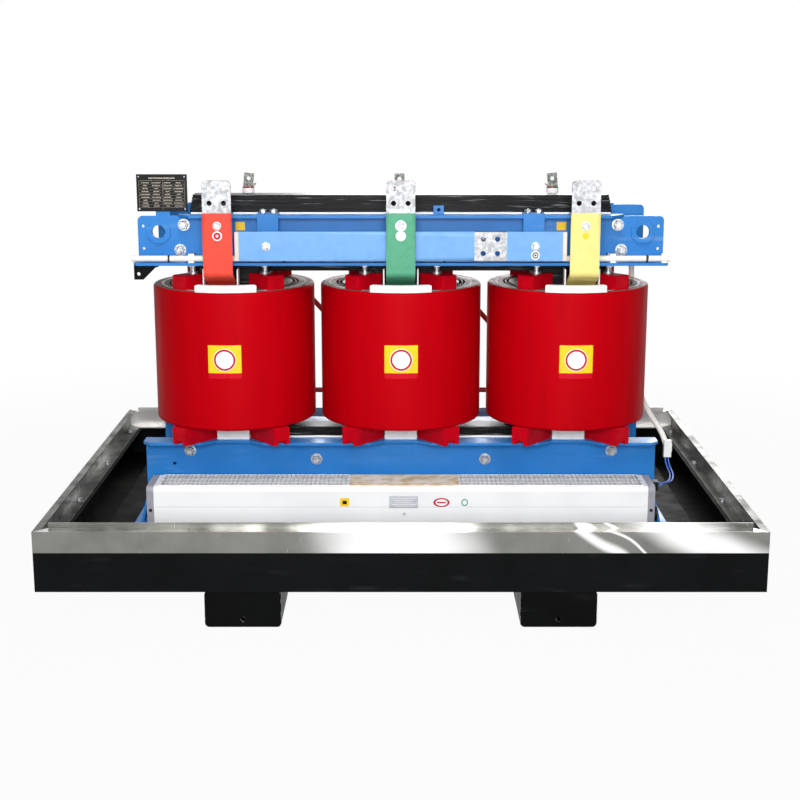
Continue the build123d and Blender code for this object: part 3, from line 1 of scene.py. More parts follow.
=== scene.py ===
"""Looks of a cast resin dry type transformer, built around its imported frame.

Metres.  +X runs along the three coils, +Y to the high voltage side, +Z up.  Places come from the boxes of
the frame's nodes, but for a few typed ones: the rails' middle, the coils' radii, the neutral bar's bare
pad, the ties and the clamp's squares.  Every piece made here rides on the transformer, which stands still.
"""
import logging
import math
from dataclasses import dataclass
from enum import Enum
from typing import Optional, Sequence

import bmesh
import bpy
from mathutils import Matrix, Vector


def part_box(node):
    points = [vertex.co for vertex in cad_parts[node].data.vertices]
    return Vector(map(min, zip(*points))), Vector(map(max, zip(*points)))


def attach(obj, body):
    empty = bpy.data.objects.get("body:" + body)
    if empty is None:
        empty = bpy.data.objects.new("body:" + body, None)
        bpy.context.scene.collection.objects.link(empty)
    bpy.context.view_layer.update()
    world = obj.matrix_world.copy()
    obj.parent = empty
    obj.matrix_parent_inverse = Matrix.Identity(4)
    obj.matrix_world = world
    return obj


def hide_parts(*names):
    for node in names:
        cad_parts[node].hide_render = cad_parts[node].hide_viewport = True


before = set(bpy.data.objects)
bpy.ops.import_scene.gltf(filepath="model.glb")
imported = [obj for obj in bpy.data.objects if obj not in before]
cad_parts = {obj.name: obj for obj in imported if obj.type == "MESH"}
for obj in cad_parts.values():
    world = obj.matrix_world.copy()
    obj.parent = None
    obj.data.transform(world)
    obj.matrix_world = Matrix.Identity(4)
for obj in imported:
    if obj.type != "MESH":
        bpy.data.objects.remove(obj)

log = logging.getLogger("transformer")

MM = 0.001
# Height of the middle of the rails above the floor.
RAIL_MIDDLE = 235 * MM
BMesh = bmesh.types.BMesh
Node = bpy.types.Node
Socket = bpy.types.NodeSocket
Tree = bpy.types.NodeTree
Box = tuple[Vector, Vector]
# Place and direction of each copy of a repeated form.
Seats = Sequence[tuple[Sequence[float], Sequence[float]]]


class Body(Enum):
    """The frame's two bodies."""

    TRANSFORMER = "transformer"
    ROTOR = "fan_rotor"


# ---------------------------------------------------------------- nodes and colours
def srgb(code: str) -> tuple[float, float, float, float]:
    """Turns an sRGB colour to linear.

    Args:
        code: six hex digits, with or without a leading #.

    Returns:
        Linear red, green, blue and an alpha of one.
    """
    digits = code.lstrip("#")
    channels = [int(digits[i:i + 2], 16) / 255 for i in (0, 2, 4)]
    linear = [c / 12.92 if c <= 0.04045 else ((c + 0.055) / 1.055) ** 2.4 for c in channels]
    return linear[0], linear[1], linear[2], 1.0


def add(tree: Tree, kind: str, inputs: Optional[dict] = None, **settings) -> Node:
    """Adds one node with its settings and links.

    Args:
        tree: shader or geometry tree that gets the node.
        kind: the node's type name.
        inputs: socket name or number to a value, or to an output socket that is linked to it.
        settings: properties of the node itself.

    Returns:
        The new node.
    """
    node = tree.nodes.new(kind)
    for key, value in settings.items():
        setattr(node, key, value)
    for key, value in (inputs or {}).items():
        socket = node.inputs[key]
        if isinstance(value, Socket):
            tree.links.new(value, socket)
        else:
            socket.default_value = value
    return node


def ramp(tree: Tree, factor: Socket,
         stops: Sequence[tuple[float, str]]) -> Socket:
    """Colour ramp through the given stops.

    Args:
        tree: the material's tree.
        factor: value that runs along the ramp.
        stops: place from 0 to 1, and the sRGB colour there.

    Returns:
        The ramp's colour output.
    """
    node = add(tree, "ShaderNodeValToRGB", {"Fac": factor})
    band = node.color_ramp.elements
    while len(band) < len(stops):
        band.new(0.5)
    for element, (place, code) in zip(band, stops):
        element.position = place
        element.color = srgb(code)
    return node.outputs["Color"]


# ---------------------------------------------------------------- finishes
@dataclass(frozen=True)
class Finish:
    """What every finish shares: a name, one body colour and a way to make its material once.

    Attributes:
        name: the material's name.
        slot: the record's material slot that it stands for; not used in this script.
        colour: sRGB colour of the body.
        roughness: of the bare surface.
    """

    name: str
    slot: str
    colour: str
    roughness: float = 0.4

    def material(self) -> bpy.types.Material:
        """Returns the material, built on the first call."""
        found = bpy.data.materials.get(self.name)
        if found:
            return found
        material = bpy.data.materials.new(self.name)
        material.use_nodes = True
        tree = material.node_tree
        tree.nodes.clear()
        shader = add(tree, "ShaderNodeBsdfPrincipled",
                     {"Base Color": srgb(self.colour), "Roughness": self.roughness})
        add(tree, "ShaderNodeOutputMaterial", {"Surface": shader.outputs["BSDF"]})
        place = add(tree, "ShaderNodeTexCoord").outputs["Object"]
        self.dress(tree, shader, place)
        return material

    def dress(self, tree: Tree, shader: Node, place: Socket) -> None:
        """Adds the finish's own pattern.

        Args:
            tree: the material's tree.
            shader: its Principled shader.
            place: Object coordinates, in metres.
        """


def noise(tree: Tree, place: Socket, grain: float, detail: float = 3.0,
          stretch: Sequence[float] = (1.0, 1.0, 1.0)) -> Socket:
    """Noise whose grain has a real size.

    Args:
        tree: the material's tree.
        place: Object coordinates.
        grain: size of one grain, in metres.
        detail: octaves.
        stretch: how much longer the grain is along each axis.

    Returns:
        The noise's value.
    """
    scaled = add(tree, "ShaderNodeMapping", {"Vector": place, "Scale": [1 / s for s in stretch]})
    return add(tree, "ShaderNodeTexNoise", {"Vector": scaled.outputs["Vector"], "Scale": 1 / grain,
                                            "Detail": detail}).outputs["Fac"]


def step(tree: Tree, value: Socket, low: float, high: float,
         start: float = 0.0, end: float = 1.0) -> Socket:
    """Maps a value's range low to high onto start to end, smooth and clamped, and returns the result."""
    return add(tree, "ShaderNodeMapRange", {"Value": value, "From Min": low, "From Max": high,
                                            "To Min": start,
                                            "To Max": end}, interpolation_type="SMOOTHSTEP").outputs["Result"]


def blend(tree: Tree, factor: Socket, first: object,
          second: object) -> Socket:
    """Mixes two colours by a factor and returns the result."""
    node = add(tree, "ShaderNodeMix", data_type="RGBA")
    tree.links.new(factor, node.inputs["Factor"])
    for socket, value in ((node.inputs[6], first), (node.inputs[7], second)):
        if isinstance(value, Socket):
            tree.links.new(value, socket)
        else:
            socket.default_value = srgb(value)
    return node.outputs[2]


def calculate(tree: Tree, operation: str, first: object, second: object = 0.0) -> Socket:
    """One Math node: returns first operation second."""
    return add(tree, "ShaderNodeMath", {0: first, 1: second}, operation=operation).outputs[0]


def edges(tree: Tree, radius: float) -> tuple[Socket, Socket]:
    """Rounded normal at the edges, and how far it leaves the flat one.

    Args:
        tree: the material's tree.
        radius: of the rounding, in metres.

    Returns:
        The rounded normal, and 0 on a flat up to 1 on an edge.
    """
    bevel = add(tree, "ShaderNodeBevel", {"Radius": radius}, samples=4).outputs["Normal"]
    flat = add(tree, "ShaderNodeNewGeometry").outputs["Normal"]
    level = add(tree, "ShaderNodeVectorMath", {0: bevel, 1: flat}, operation="DOT_PRODUCT").outputs["Value"]
    return bevel, step(tree, level, 0.995, 0.75)


def relief(tree: Tree, shader: Node, height: Socket, strength: float, depth: float,
           rounded: Optional[Socket] = None) -> None:
    """Bumps a shader's surface.

    Args:
        tree: the material's tree.
        shader: its Principled shader.
        height: pattern of the bump.
        strength: of the bump, from 0 to 1.
        depth: of the bump, in metres.
        rounded: normal that it starts from, or none for the plain one.
    """
    bump = add(tree, "ShaderNodeBump", {"Height": height, "Strength": strength, "Distance": depth})
    if rounded:
        tree.links.new(rounded, bump.inputs["Normal"])
    tree.links.new(bump.outputs["Normal"], shader.inputs["Normal"])


def roughen(tree: Tree, shader: Node, pattern: Socket, low: float, high: float, top: float = 0.7) -> None:
    """Drives a shader's roughness from low to high as its pattern goes from 0.3 to top."""
    tree.links.new(step(tree, pattern, 0.3, top, low, high), shader.inputs["Roughness"])


@dataclass(frozen=True)
class Enamel(Finish):
    """Sprayed enamel on steel: slight orange peel, a little dust, and chips where edges are rubbed.

    Attributes:
        shade: darker colour that drifts through the body colour.
        chip: colour of what shows at a rubbed edge.
        wear: share of the edge that is rubbed, from 0 to 1.
        dust: colour of specks and smears.
        dust_share: how much of the surface carries dust, from 0 to 1.
        gloss: level of the clear reflection.
        edge_radius: rounding of the edges, in metres.
    """

    shade: str = "#000000"
    chip: str = "#9A9A9A"
    wear: float = 0.3
    dust: str = "#C8C8C8"
    dust_share: float = 0.1
    gloss: float = 0.5
    edge_radius: float = 1.2 * MM

    def dress(self, tree: Tree, shader: Node, place: Socket) -> None:
        """Adds drift of colour, specks, rubbed edges and orange peel."""
        drift = step(tree, noise(tree, place, 180 * MM, 2.0), 0.35, 0.7)
        colour = blend(tree, drift, self.colour, self.shade)
        smear = step(tree, noise(tree, place, 30 * MM, 5.0, (6.0, 6.0, 1.0)), 0.58, 0.8, 0.0, self.dust_share)
        colour = blend(tree, smear, colour, self.dust)
        speck = step(tree, noise(tree, place, 3.0 * MM, 1.0), 0.80 - 0.08 * self.dust_share, 0.84, 0.0, 1.0)
        colour = blend(tree, calculate(tree, "MULTIPLY", speck, self.dust_share), colour, self.dust)
        rounded, edge = edges(tree, self.edge_radius)
        patchy = step(tree, noise(tree, place, 9 * MM, 4.0), 0.72 - 0.3 * self.wear, 0.78 - 0.3 * self.wear)
        chipped = calculate(tree, "MULTIPLY", edge, patchy)
        colour = blend(tree, chipped, colour, self.chip)
        tree.links.new(colour, shader.inputs["Base Color"])
        # Orange peel of sprayed enamel is about 1.5 mm from crest to crest.
        relief(tree, shader, noise(tree, place, 1.5 * MM, 1.0), 0.05, 0.5 * MM, rounded)
        roughen(tree, shader, noise(tree, place, 60 * MM, 3.0), self.roughness - 0.06, self.roughness + 0.1,
                0.75)
        shader.inputs["Specular IOR Level"].default_value = self.gloss


@dataclass(frozen=True)
class SheetMetal(Finish):
    """Bare rolled metal: rolling lines along one axis, smudges, lighter and darker stretches, painted
    reflections and painted light on the faces that look up.

    Attributes:
        shade: darker colour of the smudged stretches.
        grain: stretch of the rolling lines along X, Y and Z.
        line: distance between rolling lines, in metres, drawn coarser than the real ones to show.
        smudge: size of a smudge, in metres.
        edge_radius: rounding of the edges, in metres.
        scratch: share of the surface with bright scratches, from 0 to 1.
        painted_top_light: paler colour painted on the faces that look up as painted light, or empty for the
            body's own.
        polished: middle and half width along X, in metres, and lean of each bright stretch, which stands
            for a reflection and is painted in a fixed place.
    """

    shade: str = "#6A6A66"
    grain: tuple[float, float, float] = (60.0, 60.0, 1.0)
    line: float = 1.0 * MM
    smudge: float = 140 * MM
    edge_radius: float = 0.8 * MM
    scratch: float = 0.0
    painted_top_light: str = ""
    polished: tuple[tuple[float, float, float], ...] = ()

    def dress(self, tree: Tree, shader: Node, place: Socket) -> None:
        """Adds rolling lines, smudges, scratches, painted reflections and painted light on the faces that
        look up.
        """
        shader.inputs["Metallic"].default_value = 1.0
        cloud = noise(tree, place, self.smudge, 4.0)
        colour = blend(tree, step(tree, cloud, 0.36, 0.66), self.colour, self.shade)
        lines = noise(tree, place, self.line, 2.0, self.grain)
        colour = blend(tree, step(tree, lines, 0.55, 0.75, 0.0, 0.25), colour, self.shade)
        scuff = noise(tree, place, 5 * MM, 2.0, (1.0, 1.0, 9.0))
        colour = blend(tree, step(tree, scuff, 0.70, 0.76, 0.0, self.scratch), colour, "#F4F4F2")
        parts = add(tree, "ShaderNodeSeparateXYZ", {"Vector": place}).outputs
        waver = step(tree, noise(tree, place, 160 * MM, 0.0), 0.3, 0.7, -25 * MM, 25 * MM)
        # Painted reflections: white stretches at fixed places along X, waving and leaning with height.
        for middle, half, lean in self.polished:
            height = calculate(tree, "SUBTRACT", parts["Z"], RAIL_MIDDLE)
            slant = calculate(tree, "ADD", parts["X"], calculate(tree, "MULTIPLY", height, lean))
            off = calculate(tree, "ABSOLUTE", calculate(tree, "SUBTRACT",
                                                        calculate(tree, "ADD", slant, waver), middle))
            colour = blend(tree, step(tree, off, half, half * 0.2), colour, "#FFFFFF")
        # Painted light: the faces that look up get a paler colour, for the light they reflect from above.
        if self.painted_top_light:
            up = add(tree, "ShaderNodeSeparateXYZ",
                     {"Vector": add(tree, "ShaderNodeTexCoord").outputs["Normal"]})
            top = blend(tree, step(tree, cloud, 0.36, 0.66), self.painted_top_light, colour)
            colour = blend(tree, step(tree, up.outputs["Z"], 0.6, 0.9), colour, top)
        tree.links.new(colour, shader.inputs["Base Color"])
        roughen(tree, shader, cloud, self.roughness, self.roughness + 0.14)
        relief(tree, shader, lines, 0.08, 0.2 * MM, edges(tree, self.edge_radius)[0])


@dataclass(frozen=True)
class CastResin(Finish):
    """Filled epoxy cast in a smooth mould: deep even colour, soft gloss and faint flow marks.

    Attributes:
        shade: darker colour of the flow marks.
        gloss: level of the clear reflection.
        edge_radius: rounding of the edges, in metres.
    """

    shade: str = "#8A0008"
    gloss: float = 0.25
    edge_radius: float = 2.0 * MM

    def dress(self, tree: Tree, shader: Node, place: Socket) -> None:
        """Adds flow marks along the mould and a very slight waviness."""
        flow = noise(tree, place, 45 * MM, 3.0, (1.0, 1.0, 7.0))
        colour = blend(tree, step(tree, flow, 0.4, 0.75, 0.0, 0.35), self.colour, self.shade)
        tree.links.new(colour, shader.inputs["Base Color"])
        shader.inputs["Specular IOR Level"].default_value = self.gloss
        wave = noise(tree, place, 25 * MM, 2.0, (1.0, 1.0, 3.0))
        relief(tree, shader, wave, 0.10, 1.0 * MM, edges(tree, self.edge_radius)[0])
        roughen(tree, shader, flow, self.roughness - 0.05, self.roughness + 0.06)


@dataclass(frozen=True)
class Moulded(Finish):
    """Moulded or laminated plastic and board: fine grain, softened edges, a little unevenness.

    Attributes:
        shade: darker colour of the unevenness.
        grain: size of the surface grain, in metres.
        relief: strength of that grain, from 0 to 1.
        gloss: level of the clear reflection.
        edge_radius: rounding of the edges, in metres.
    """

    shade: str = "#808080"
    grain: float = 2.0 * MM
    relief: float = 0.1
    gloss: float = 0.4
    edge_radius: float = 1.0 * MM

    def dress(self, tree: Tree, shader: Node, place: Socket) -> None:
        """Adds cloudy colour, grain and softened edges."""
        cloud = noise(tree, place, 25 * MM, 4.0)
        colour = blend(tree, step(tree, cloud, 0.42, 0.72, 0.0, 0.6), self.colour, self.shade)
        tree.links.new(colour, shader.inputs["Base Color"])
        shader.inputs["Specular IOR Level"].default_value = self.gloss
        rounded, _ = edges(tree, self.edge_radius)
        relief(tree, shader, noise(tree, place, self.grain, 2.0), self.relief, 0.3 * MM, rounded)
        roughen(tree, shader, cloud, self.roughness - 0.05, self.roughness + 0.08)


@dataclass(frozen=True)
class PlatedMetal(Finish):
    """Plated or tinned metal: spangled tone, and the base metal on the cut edges where a colour is given.

    Attributes:
        shade: darker tone of the spangle.
        spangle: size of one patch, in metres.
        edge: colour on the faces that don't look along Y, or empty for none.
        relief: strength of the fine bump, from 0 to 1.
        metal: how metallic the plating looks, from 0 to 1.
    """

    shade: str = "#7A7C7E"
    spangle: float = 5.0 * MM
    edge: str = ""
    relief: float = 0.15
    metal: float = 1.0

    def dress(self, tree: Tree, shader: Node, place: Socket) -> None:
        """Adds the spangle, the cut edges and a fine bump."""
        shader.inputs["Metallic"].default_value = self.metal
        patch = noise(tree, place, self.spangle, 5.0)
        colour = blend(tree, step(tree, patch, 0.38, 0.66), self.colour, self.shade)
        if self.edge:
            normal = add(tree, "ShaderNodeTexCoord").outputs["Normal"]
            along = add(tree, "ShaderNodeSeparateXYZ", {"Vector": normal}).outputs["Y"]
            cut = step(tree, calculate(tree, "ABSOLUTE", along), 0.9, 0.6)
            cut = calculate(tree, "MAXIMUM", cut, edges(tree, 1.6 * MM)[1])
            colour = blend(tree, cut, colour, self.edge)
        tree.links.new(colour, shader.inputs["Base Color"])
        roughen(tree, shader, patch, self.roughness - 0.06, self.roughness + 0.12)
        relief(tree, shader, noise(tree, place, 1.2 * MM, 3.0), self.relief, 0.1 * MM,
               edges(tree, 0.7 * MM)[0])


@dataclass(frozen=True)
class CoreSteel(Finish):
    """Stacked silicon steel sheets under black varnish, with bright streaks along the core.

    Attributes:
        streak: colour of the bright streaks.
        sheet: pitch of the visible sheet lines, in metres; the real 0.3 mm is too fine to show.
    """

    streak: str = "#9A9B9C"
    sheet: float = 3.0 * MM

    def dress(self, tree: Tree, shader: Node, place: Socket) -> None:
        """Adds sheet lines across the stack and streaks along the core."""
        line = noise(tree, place, self.sheet, 2.0, (120.0, 1.0, 3.0))
        streaked = step(tree, noise(tree, place, 5 * MM, 3.0, (26.0, 1.0, 1.0)), 0.60, 0.74)
        colour = blend(tree, step(tree, line, 0.4, 0.7, 0.0, 0.5), self.colour, "#2B2C2F")
        colour = blend(tree, streaked, colour, self.streak)
        tree.links.new(colour, shader.inputs["Base Color"])
        shader.inputs["Specular IOR Level"].default_value = 0.1
        relief(tree, shader, line, 0.35, 0.6 * MM)


@dataclass(frozen=True)
class CoilResin(CastResin):
    """Red cast resin whose two ends are left as cast: brown filler, and a torn ring of glass mat.

    Attributes:
        centre: X of the coil's axis, in metres.
        outer: radius of the coil, in metres.
        inner: radius of its bore, in metres.
    """

    centre: float = 0.0
    outer: float = 0.236
    inner: float = 0.190

    def dress(self, tree: Tree, shader: Node, place: Socket) -> None:
        """Adds the rings on the ends over the cast resin."""
        super().dress(tree, shader, place)
        body = shader.inputs["Base Color"].links[0].from_socket
        moved = add(tree, "ShaderNodeMapping", {"Vector": place, "Location": (-self.centre, 0.0, 0.0),
                                                "Scale": (1.0, 1.0, 0.0)}).outputs["Vector"]
        radius = add(tree, "ShaderNodeVectorMath", {0: moved}, operation="LENGTH").outputs["Value"]
        torn = noise(tree, place, 9 * MM, 4.0)
        ragged = calculate(tree, "ADD", radius, step(tree, torn, 0.3, 0.7, -3 * MM, 3 * MM))
        across = add(tree, "ShaderNodeMapRange",
                     {"Value": ragged, "From Min": self.inner, "From Max": self.outer})
        rings = ramp(tree, across.outputs["Result"],
                     ((0.0, "#3A302B"), (0.12, "#6E625A"), (0.30, "#5A4E47"), (0.36, "#F2EFEA"),
                      (0.47, "#E8E3DC"),
                      (0.52, "#A80A12"), (0.58, "#8E0A10"), (0.62, "#6B5C54"), (0.84, "#7C6E66"),
                      (0.94, "#8A0A10")))
        up = add(tree, "ShaderNodeSeparateXYZ", {"Vector": add(tree, "ShaderNodeTexCoord").outputs["Normal"]})
        flat = step(tree, calculate(tree, "ABSOLUTE", up.outputs["Z"]), 0.90, 0.99)
        tree.links.new(blend(tree, flat, body, rings), shader.inputs["Base Color"])


# Skids: black powder coat on steel tube, rubbed bright along the edges by handling.
SKID_COAT = Enamel("scuffed_black_coat", "black_paint", "#090A0B", 0.4, shade="#060607", chip="#B8B8B6",
                   wear=0.75,
                   dust="#55565A", dust_share=0.1, gloss=0.05, edge_radius=3 * MM)
# Front and rear channels and the fan's end brackets: the same coat, lightly chipped and dusty.
BLACK_COAT = Enamel("black_powder_coat", "black_paint", "#0A0B0D", 0.42, shade="#060708", chip="#A8A8A6",
                    wear=0.3,
                    dust="#55565A", dust_share=0.14, gloss=0.07)
# Floor plate, side channels and support beams: the same coat, under a film of brown dust.
FLOOR_COAT = Enamel("dusty_floor_plate", "black_paint", "#0D0D0C", 0.55, shade="#080808", chip="#8C8C8A",
                    wear=0.1,
                    dust="#3C3935", dust_share=0.2, gloss=0.03)
# Front rail: cold rolled stainless with long smudges, painted reflections and a painted-light upper face.
FRONT_STAINLESS = SheetMetal("stainless_front_rail", "stainless", "#8E8F8A", 0.26, shade="#7B7C77",
                             grain=(60.0, 1.0, 1.0), scratch=0.35, painted_top_light="#D8D6D3",
                             polished=((0.0, 0.28, 0.0), (0.53, 0.03, 1.4), (0.60, 0.01, 1.6),
                                       (0.80, 0.17, 2.2)))
# Rear rail: the same steel painted lighter as painted light, with no painted stretches.
REAR_STAINLESS = SheetMetal("stainless_rear_rail", "stainless", "#F2F1EE", 0.34, shade="#D4D2CF",
                            grain=(60.0, 1.0, 1.0), scratch=0.2)
# Side rails: the same steel painted darker as painted shade, with a paler upper face as painted light.
SIDE_STAINLESS = SheetMetal("stainless_side_rail", "stainless", "#343433", 0.30, shade="#1C1C1B",
                            grain=(1.0, 60.0, 1.0), smudge=90 * MM, scratch=0.3, painted_top_light="#63635E")
# Core: grain oriented silicon steel under black varnish.
CORE = CoreSteel("silicon_steel_varnished", "core_varnish", "#0B0C0E", 0.34, streak="#8E8F90")
# Clamps and feet: blue gloss enamel on pressed steel.
BLUE = Enamel("blue_gloss_enamel", "clamp_blue", "#2C7FCB", 0.34, shade="#2676BF", chip="#86A5C4", wear=0.12,
              dust="#C4DAEE", dust_share=0.14, gloss=0.3)
# Support blocks: red moulded polyester dough.
BLOCK_RED = Moulded("red_moulded_polyester", "block_red", "#C80018", 0.42, shade="#AC0014", relief=0.2,
                    gloss=0.12)
# Low voltage coil ends: grey resin over aluminium foil.
FOIL_END = SheetMetal("foil_winding_end", "lv_winding", "#8D8780", 0.45, shade="#45403B",
                      grain=(1.0, 1.0, 1.0),
                      line=2.0 * MM, smudge=22 * MM)
# Boards, wedges and guards: milky white glass polyester.
WHITE_BOARD = Moulded("white_glass_polyester", "white_board", "#EDEDED", 0.38, shade="#DFE0E1", relief=0.12)
# Barrier cylinders: brown rolled glass laminate.
BARRIER = Moulded("brown_rolled_laminate", "barrier_board", "#5A4238", 0.5, shade="#3C2B24", grain=3 * MM,
                  relief=0.3)
# Fasteners: zinc plated steel.
ZINC = PlatedMetal("zinc_plated_steel", "zinc", "#D2D4D7", 0.44, shade="#9A9EA2", relief=0.12)
# Sleeves shrunk over the bars: soft satin polyolefin.
RED_SLEEVE = Moulded("red_shrink_sleeve", "sleeve_red", "#F2503F", 0.34, shade="#EA4436", relief=0.05,
                     gloss=0.16)
GREEN_SLEEVE = Moulded("green_shrink_sleeve", "sleeve_green", "#5AA885", 0.34, shade="#4E9A77", relief=0.05,
                       gloss=0.16)
YELLOW_SLEEVE = Moulded("yellow_shrink_sleeve", "sleeve_yellow", "#F4E38E", 0.34, shade="#EDDA80",
                        relief=0.05,
                        gloss=0.16)
BLUE_SLEEVE = Moulded("light_blue_shrink_sleeve", "sleeve_blue", "#79ADE6", 0.34, shade="#6DA2DE",
                      relief=0.05,
                      gloss=0.16)
# Bars: copper under a bright tin plate, copper showing on the sawn edges.
TINNED_BAR = PlatedMetal("tinned_copper_bar", "tinned_copper", "#C0C2C5", 0.56, shade="#A8AAAD",
                         edge="#7A3F32",
                         relief=0.25, spangle=9 * MM, metal=0.6)
TINNED = PlatedMetal("tinned_copper_plate", "tinned_copper", "#8E938C", 0.56, shade="#5A5F59", metal=0.6)
# Stand-offs and combs: cream moulded polyester.
STAND_OFF = Moulded("cream_stand_off", "stand_off", "#E6D8CA", 0.45, shade="#CDBBAD", relief=0.15)
# Nameplate: black anodised aluminium.
PLATE_BLACK = Moulded("black_anodised_plate", "nameplate_black", "#080809", 0.35, shade="#101011",
                      relief=0.05,
                      gloss=0.2)
# High voltage posts: dark red cycloaliphatic resin.
POST_RED = CastResin("red_post_resin", "post_red", "#B0141A", 0.3, shade="#7A0C10", gloss=0.4)
# High voltage links: copper rod in a red sleeve.
ROD_RED = Moulded("red_rod_sleeve", "rod_sleeve", "#A80D12", 0.38, shade="#8C090E", relief=0.05)
# Tap links: cold rolled brass.
BRASS = SheetMetal("brass_strip", "brass", "#D8B262", 0.26, shade="#A98642", line=0.8 * MM, smudge=15 * MM)
# Fan body: white powder coat on folded sheet.
FAN_WHITE = Enamel("white_powder_coat", "fan_white", "#FAFBFC", 0.34, shade="#F3F4F6", chip="#B9BABC",
                   wear=0.05,
                   dust="#DDDDDD", dust_share=0.05, gloss=0.4)
# Fan end caps: grey injection moulded ABS.
FAN_GREY = Moulded("grey_abs_cap", "fan_cap_grey", "#A0A0AA", 0.42, shade="#90909A", relief=0.2)
# Motor cover: yellow passivated zinc on sheet steel, mottled.
PASSIVATED = PlatedMetal("yellow_passivated_zinc", "fan_gold", "#FFF6E2", 0.5, shade="#D9BE86",
                         spangle=45 * MM,
                         relief=0.1, metal=0.1)
# Motor and terminal box: black moulded ABS.
BLACK_ABS = Moulded("black_moulded_abs", "fan_black", "#101113", 0.42, shade="#0A0A0B", relief=0.2, gloss=0.3)
# Rotor drums: natural pressed aluminium.
DRUM = SheetMetal("pressed_aluminium", "fan_drum", "#E2E4E6", 0.30, shade="#C4C6C8", line=0.8 * MM,
                  smudge=30 * MM)
# Wire mesh over the fan: galvanised wire.
MESH_WIRE = PlatedMetal("galvanised_mesh_wire", "fan_white", "#A4A8AE", 0.4, shade="#8A8E94", spangle=3 * MM)
# Sensor lead sleeve: cream polyamide.
CREAM = Moulded("cream_polyamide_sleeve", "cable_cream", "#F4F1EC", 0.42, shade="#E6E1D8", relief=0.1)
# Clips, ties and connector shell: white nylon.
NYLON = Moulded("white_nylon", "nylon_white", "#F6F6F4", 0.36, shade="#E6E6E4", relief=0.05)
BLACK_TIE = Moulded("black_nylon_tie", "fan_black", "#17181A", 0.4, shade="#0E0F10", relief=0.05)
# Fan leads: PVC sheath.
BLUE_WIRE = Moulded("blue_wire_sheath", "wire_sheath", "#4A74D6", 0.4, shade="#3F66C0", relief=0.05)
# Labels: screen printed vinyl film.
VINYL_WHITE = Moulded("white_vinyl_film", "white_board", "#F8F8F8", 0.3, shade="#F0F0F0", relief=0.03)
VINYL_YELLOW = Moulded("yellow_vinyl_film", "sleeve_yellow", "#FFD21E", 0.3, shade="#F8C818", relief=0.03)
VINYL_RED = Moulded("red_vinyl_film", "coil_red", "#C8102A", 0.3, shade="#BC0C24", relief=0.03, gloss=0.2)
VINYL_BLACK = Moulded("black_vinyl_film", "fan_black", "#17191D", 0.3, shade="#101114", relief=0.03,
                      gloss=0.3)
VINYL_GREY = Moulded("grey_vinyl_film", "fan_cap_grey", "#C9CDD4", 0.3, shade="#BCC0C8", relief=0.03)
VINYL_GREEN = Moulded("green_vinyl_film", "sleeve_green", "#3FA07A", 0.3, shade="#38946F", relief=0.03)
VINYL_STRIP = Moulded("dark_red_vinyl_film", "coil_red", "#D2001E", 0.3, shade="#C8001C", relief=0.03,
                      gloss=0.2)
PLATE_PRINT = Moulded("etched_plate_print", "stand_off", "#A69F90", 0.4, shade="#7C766A", relief=0.05)


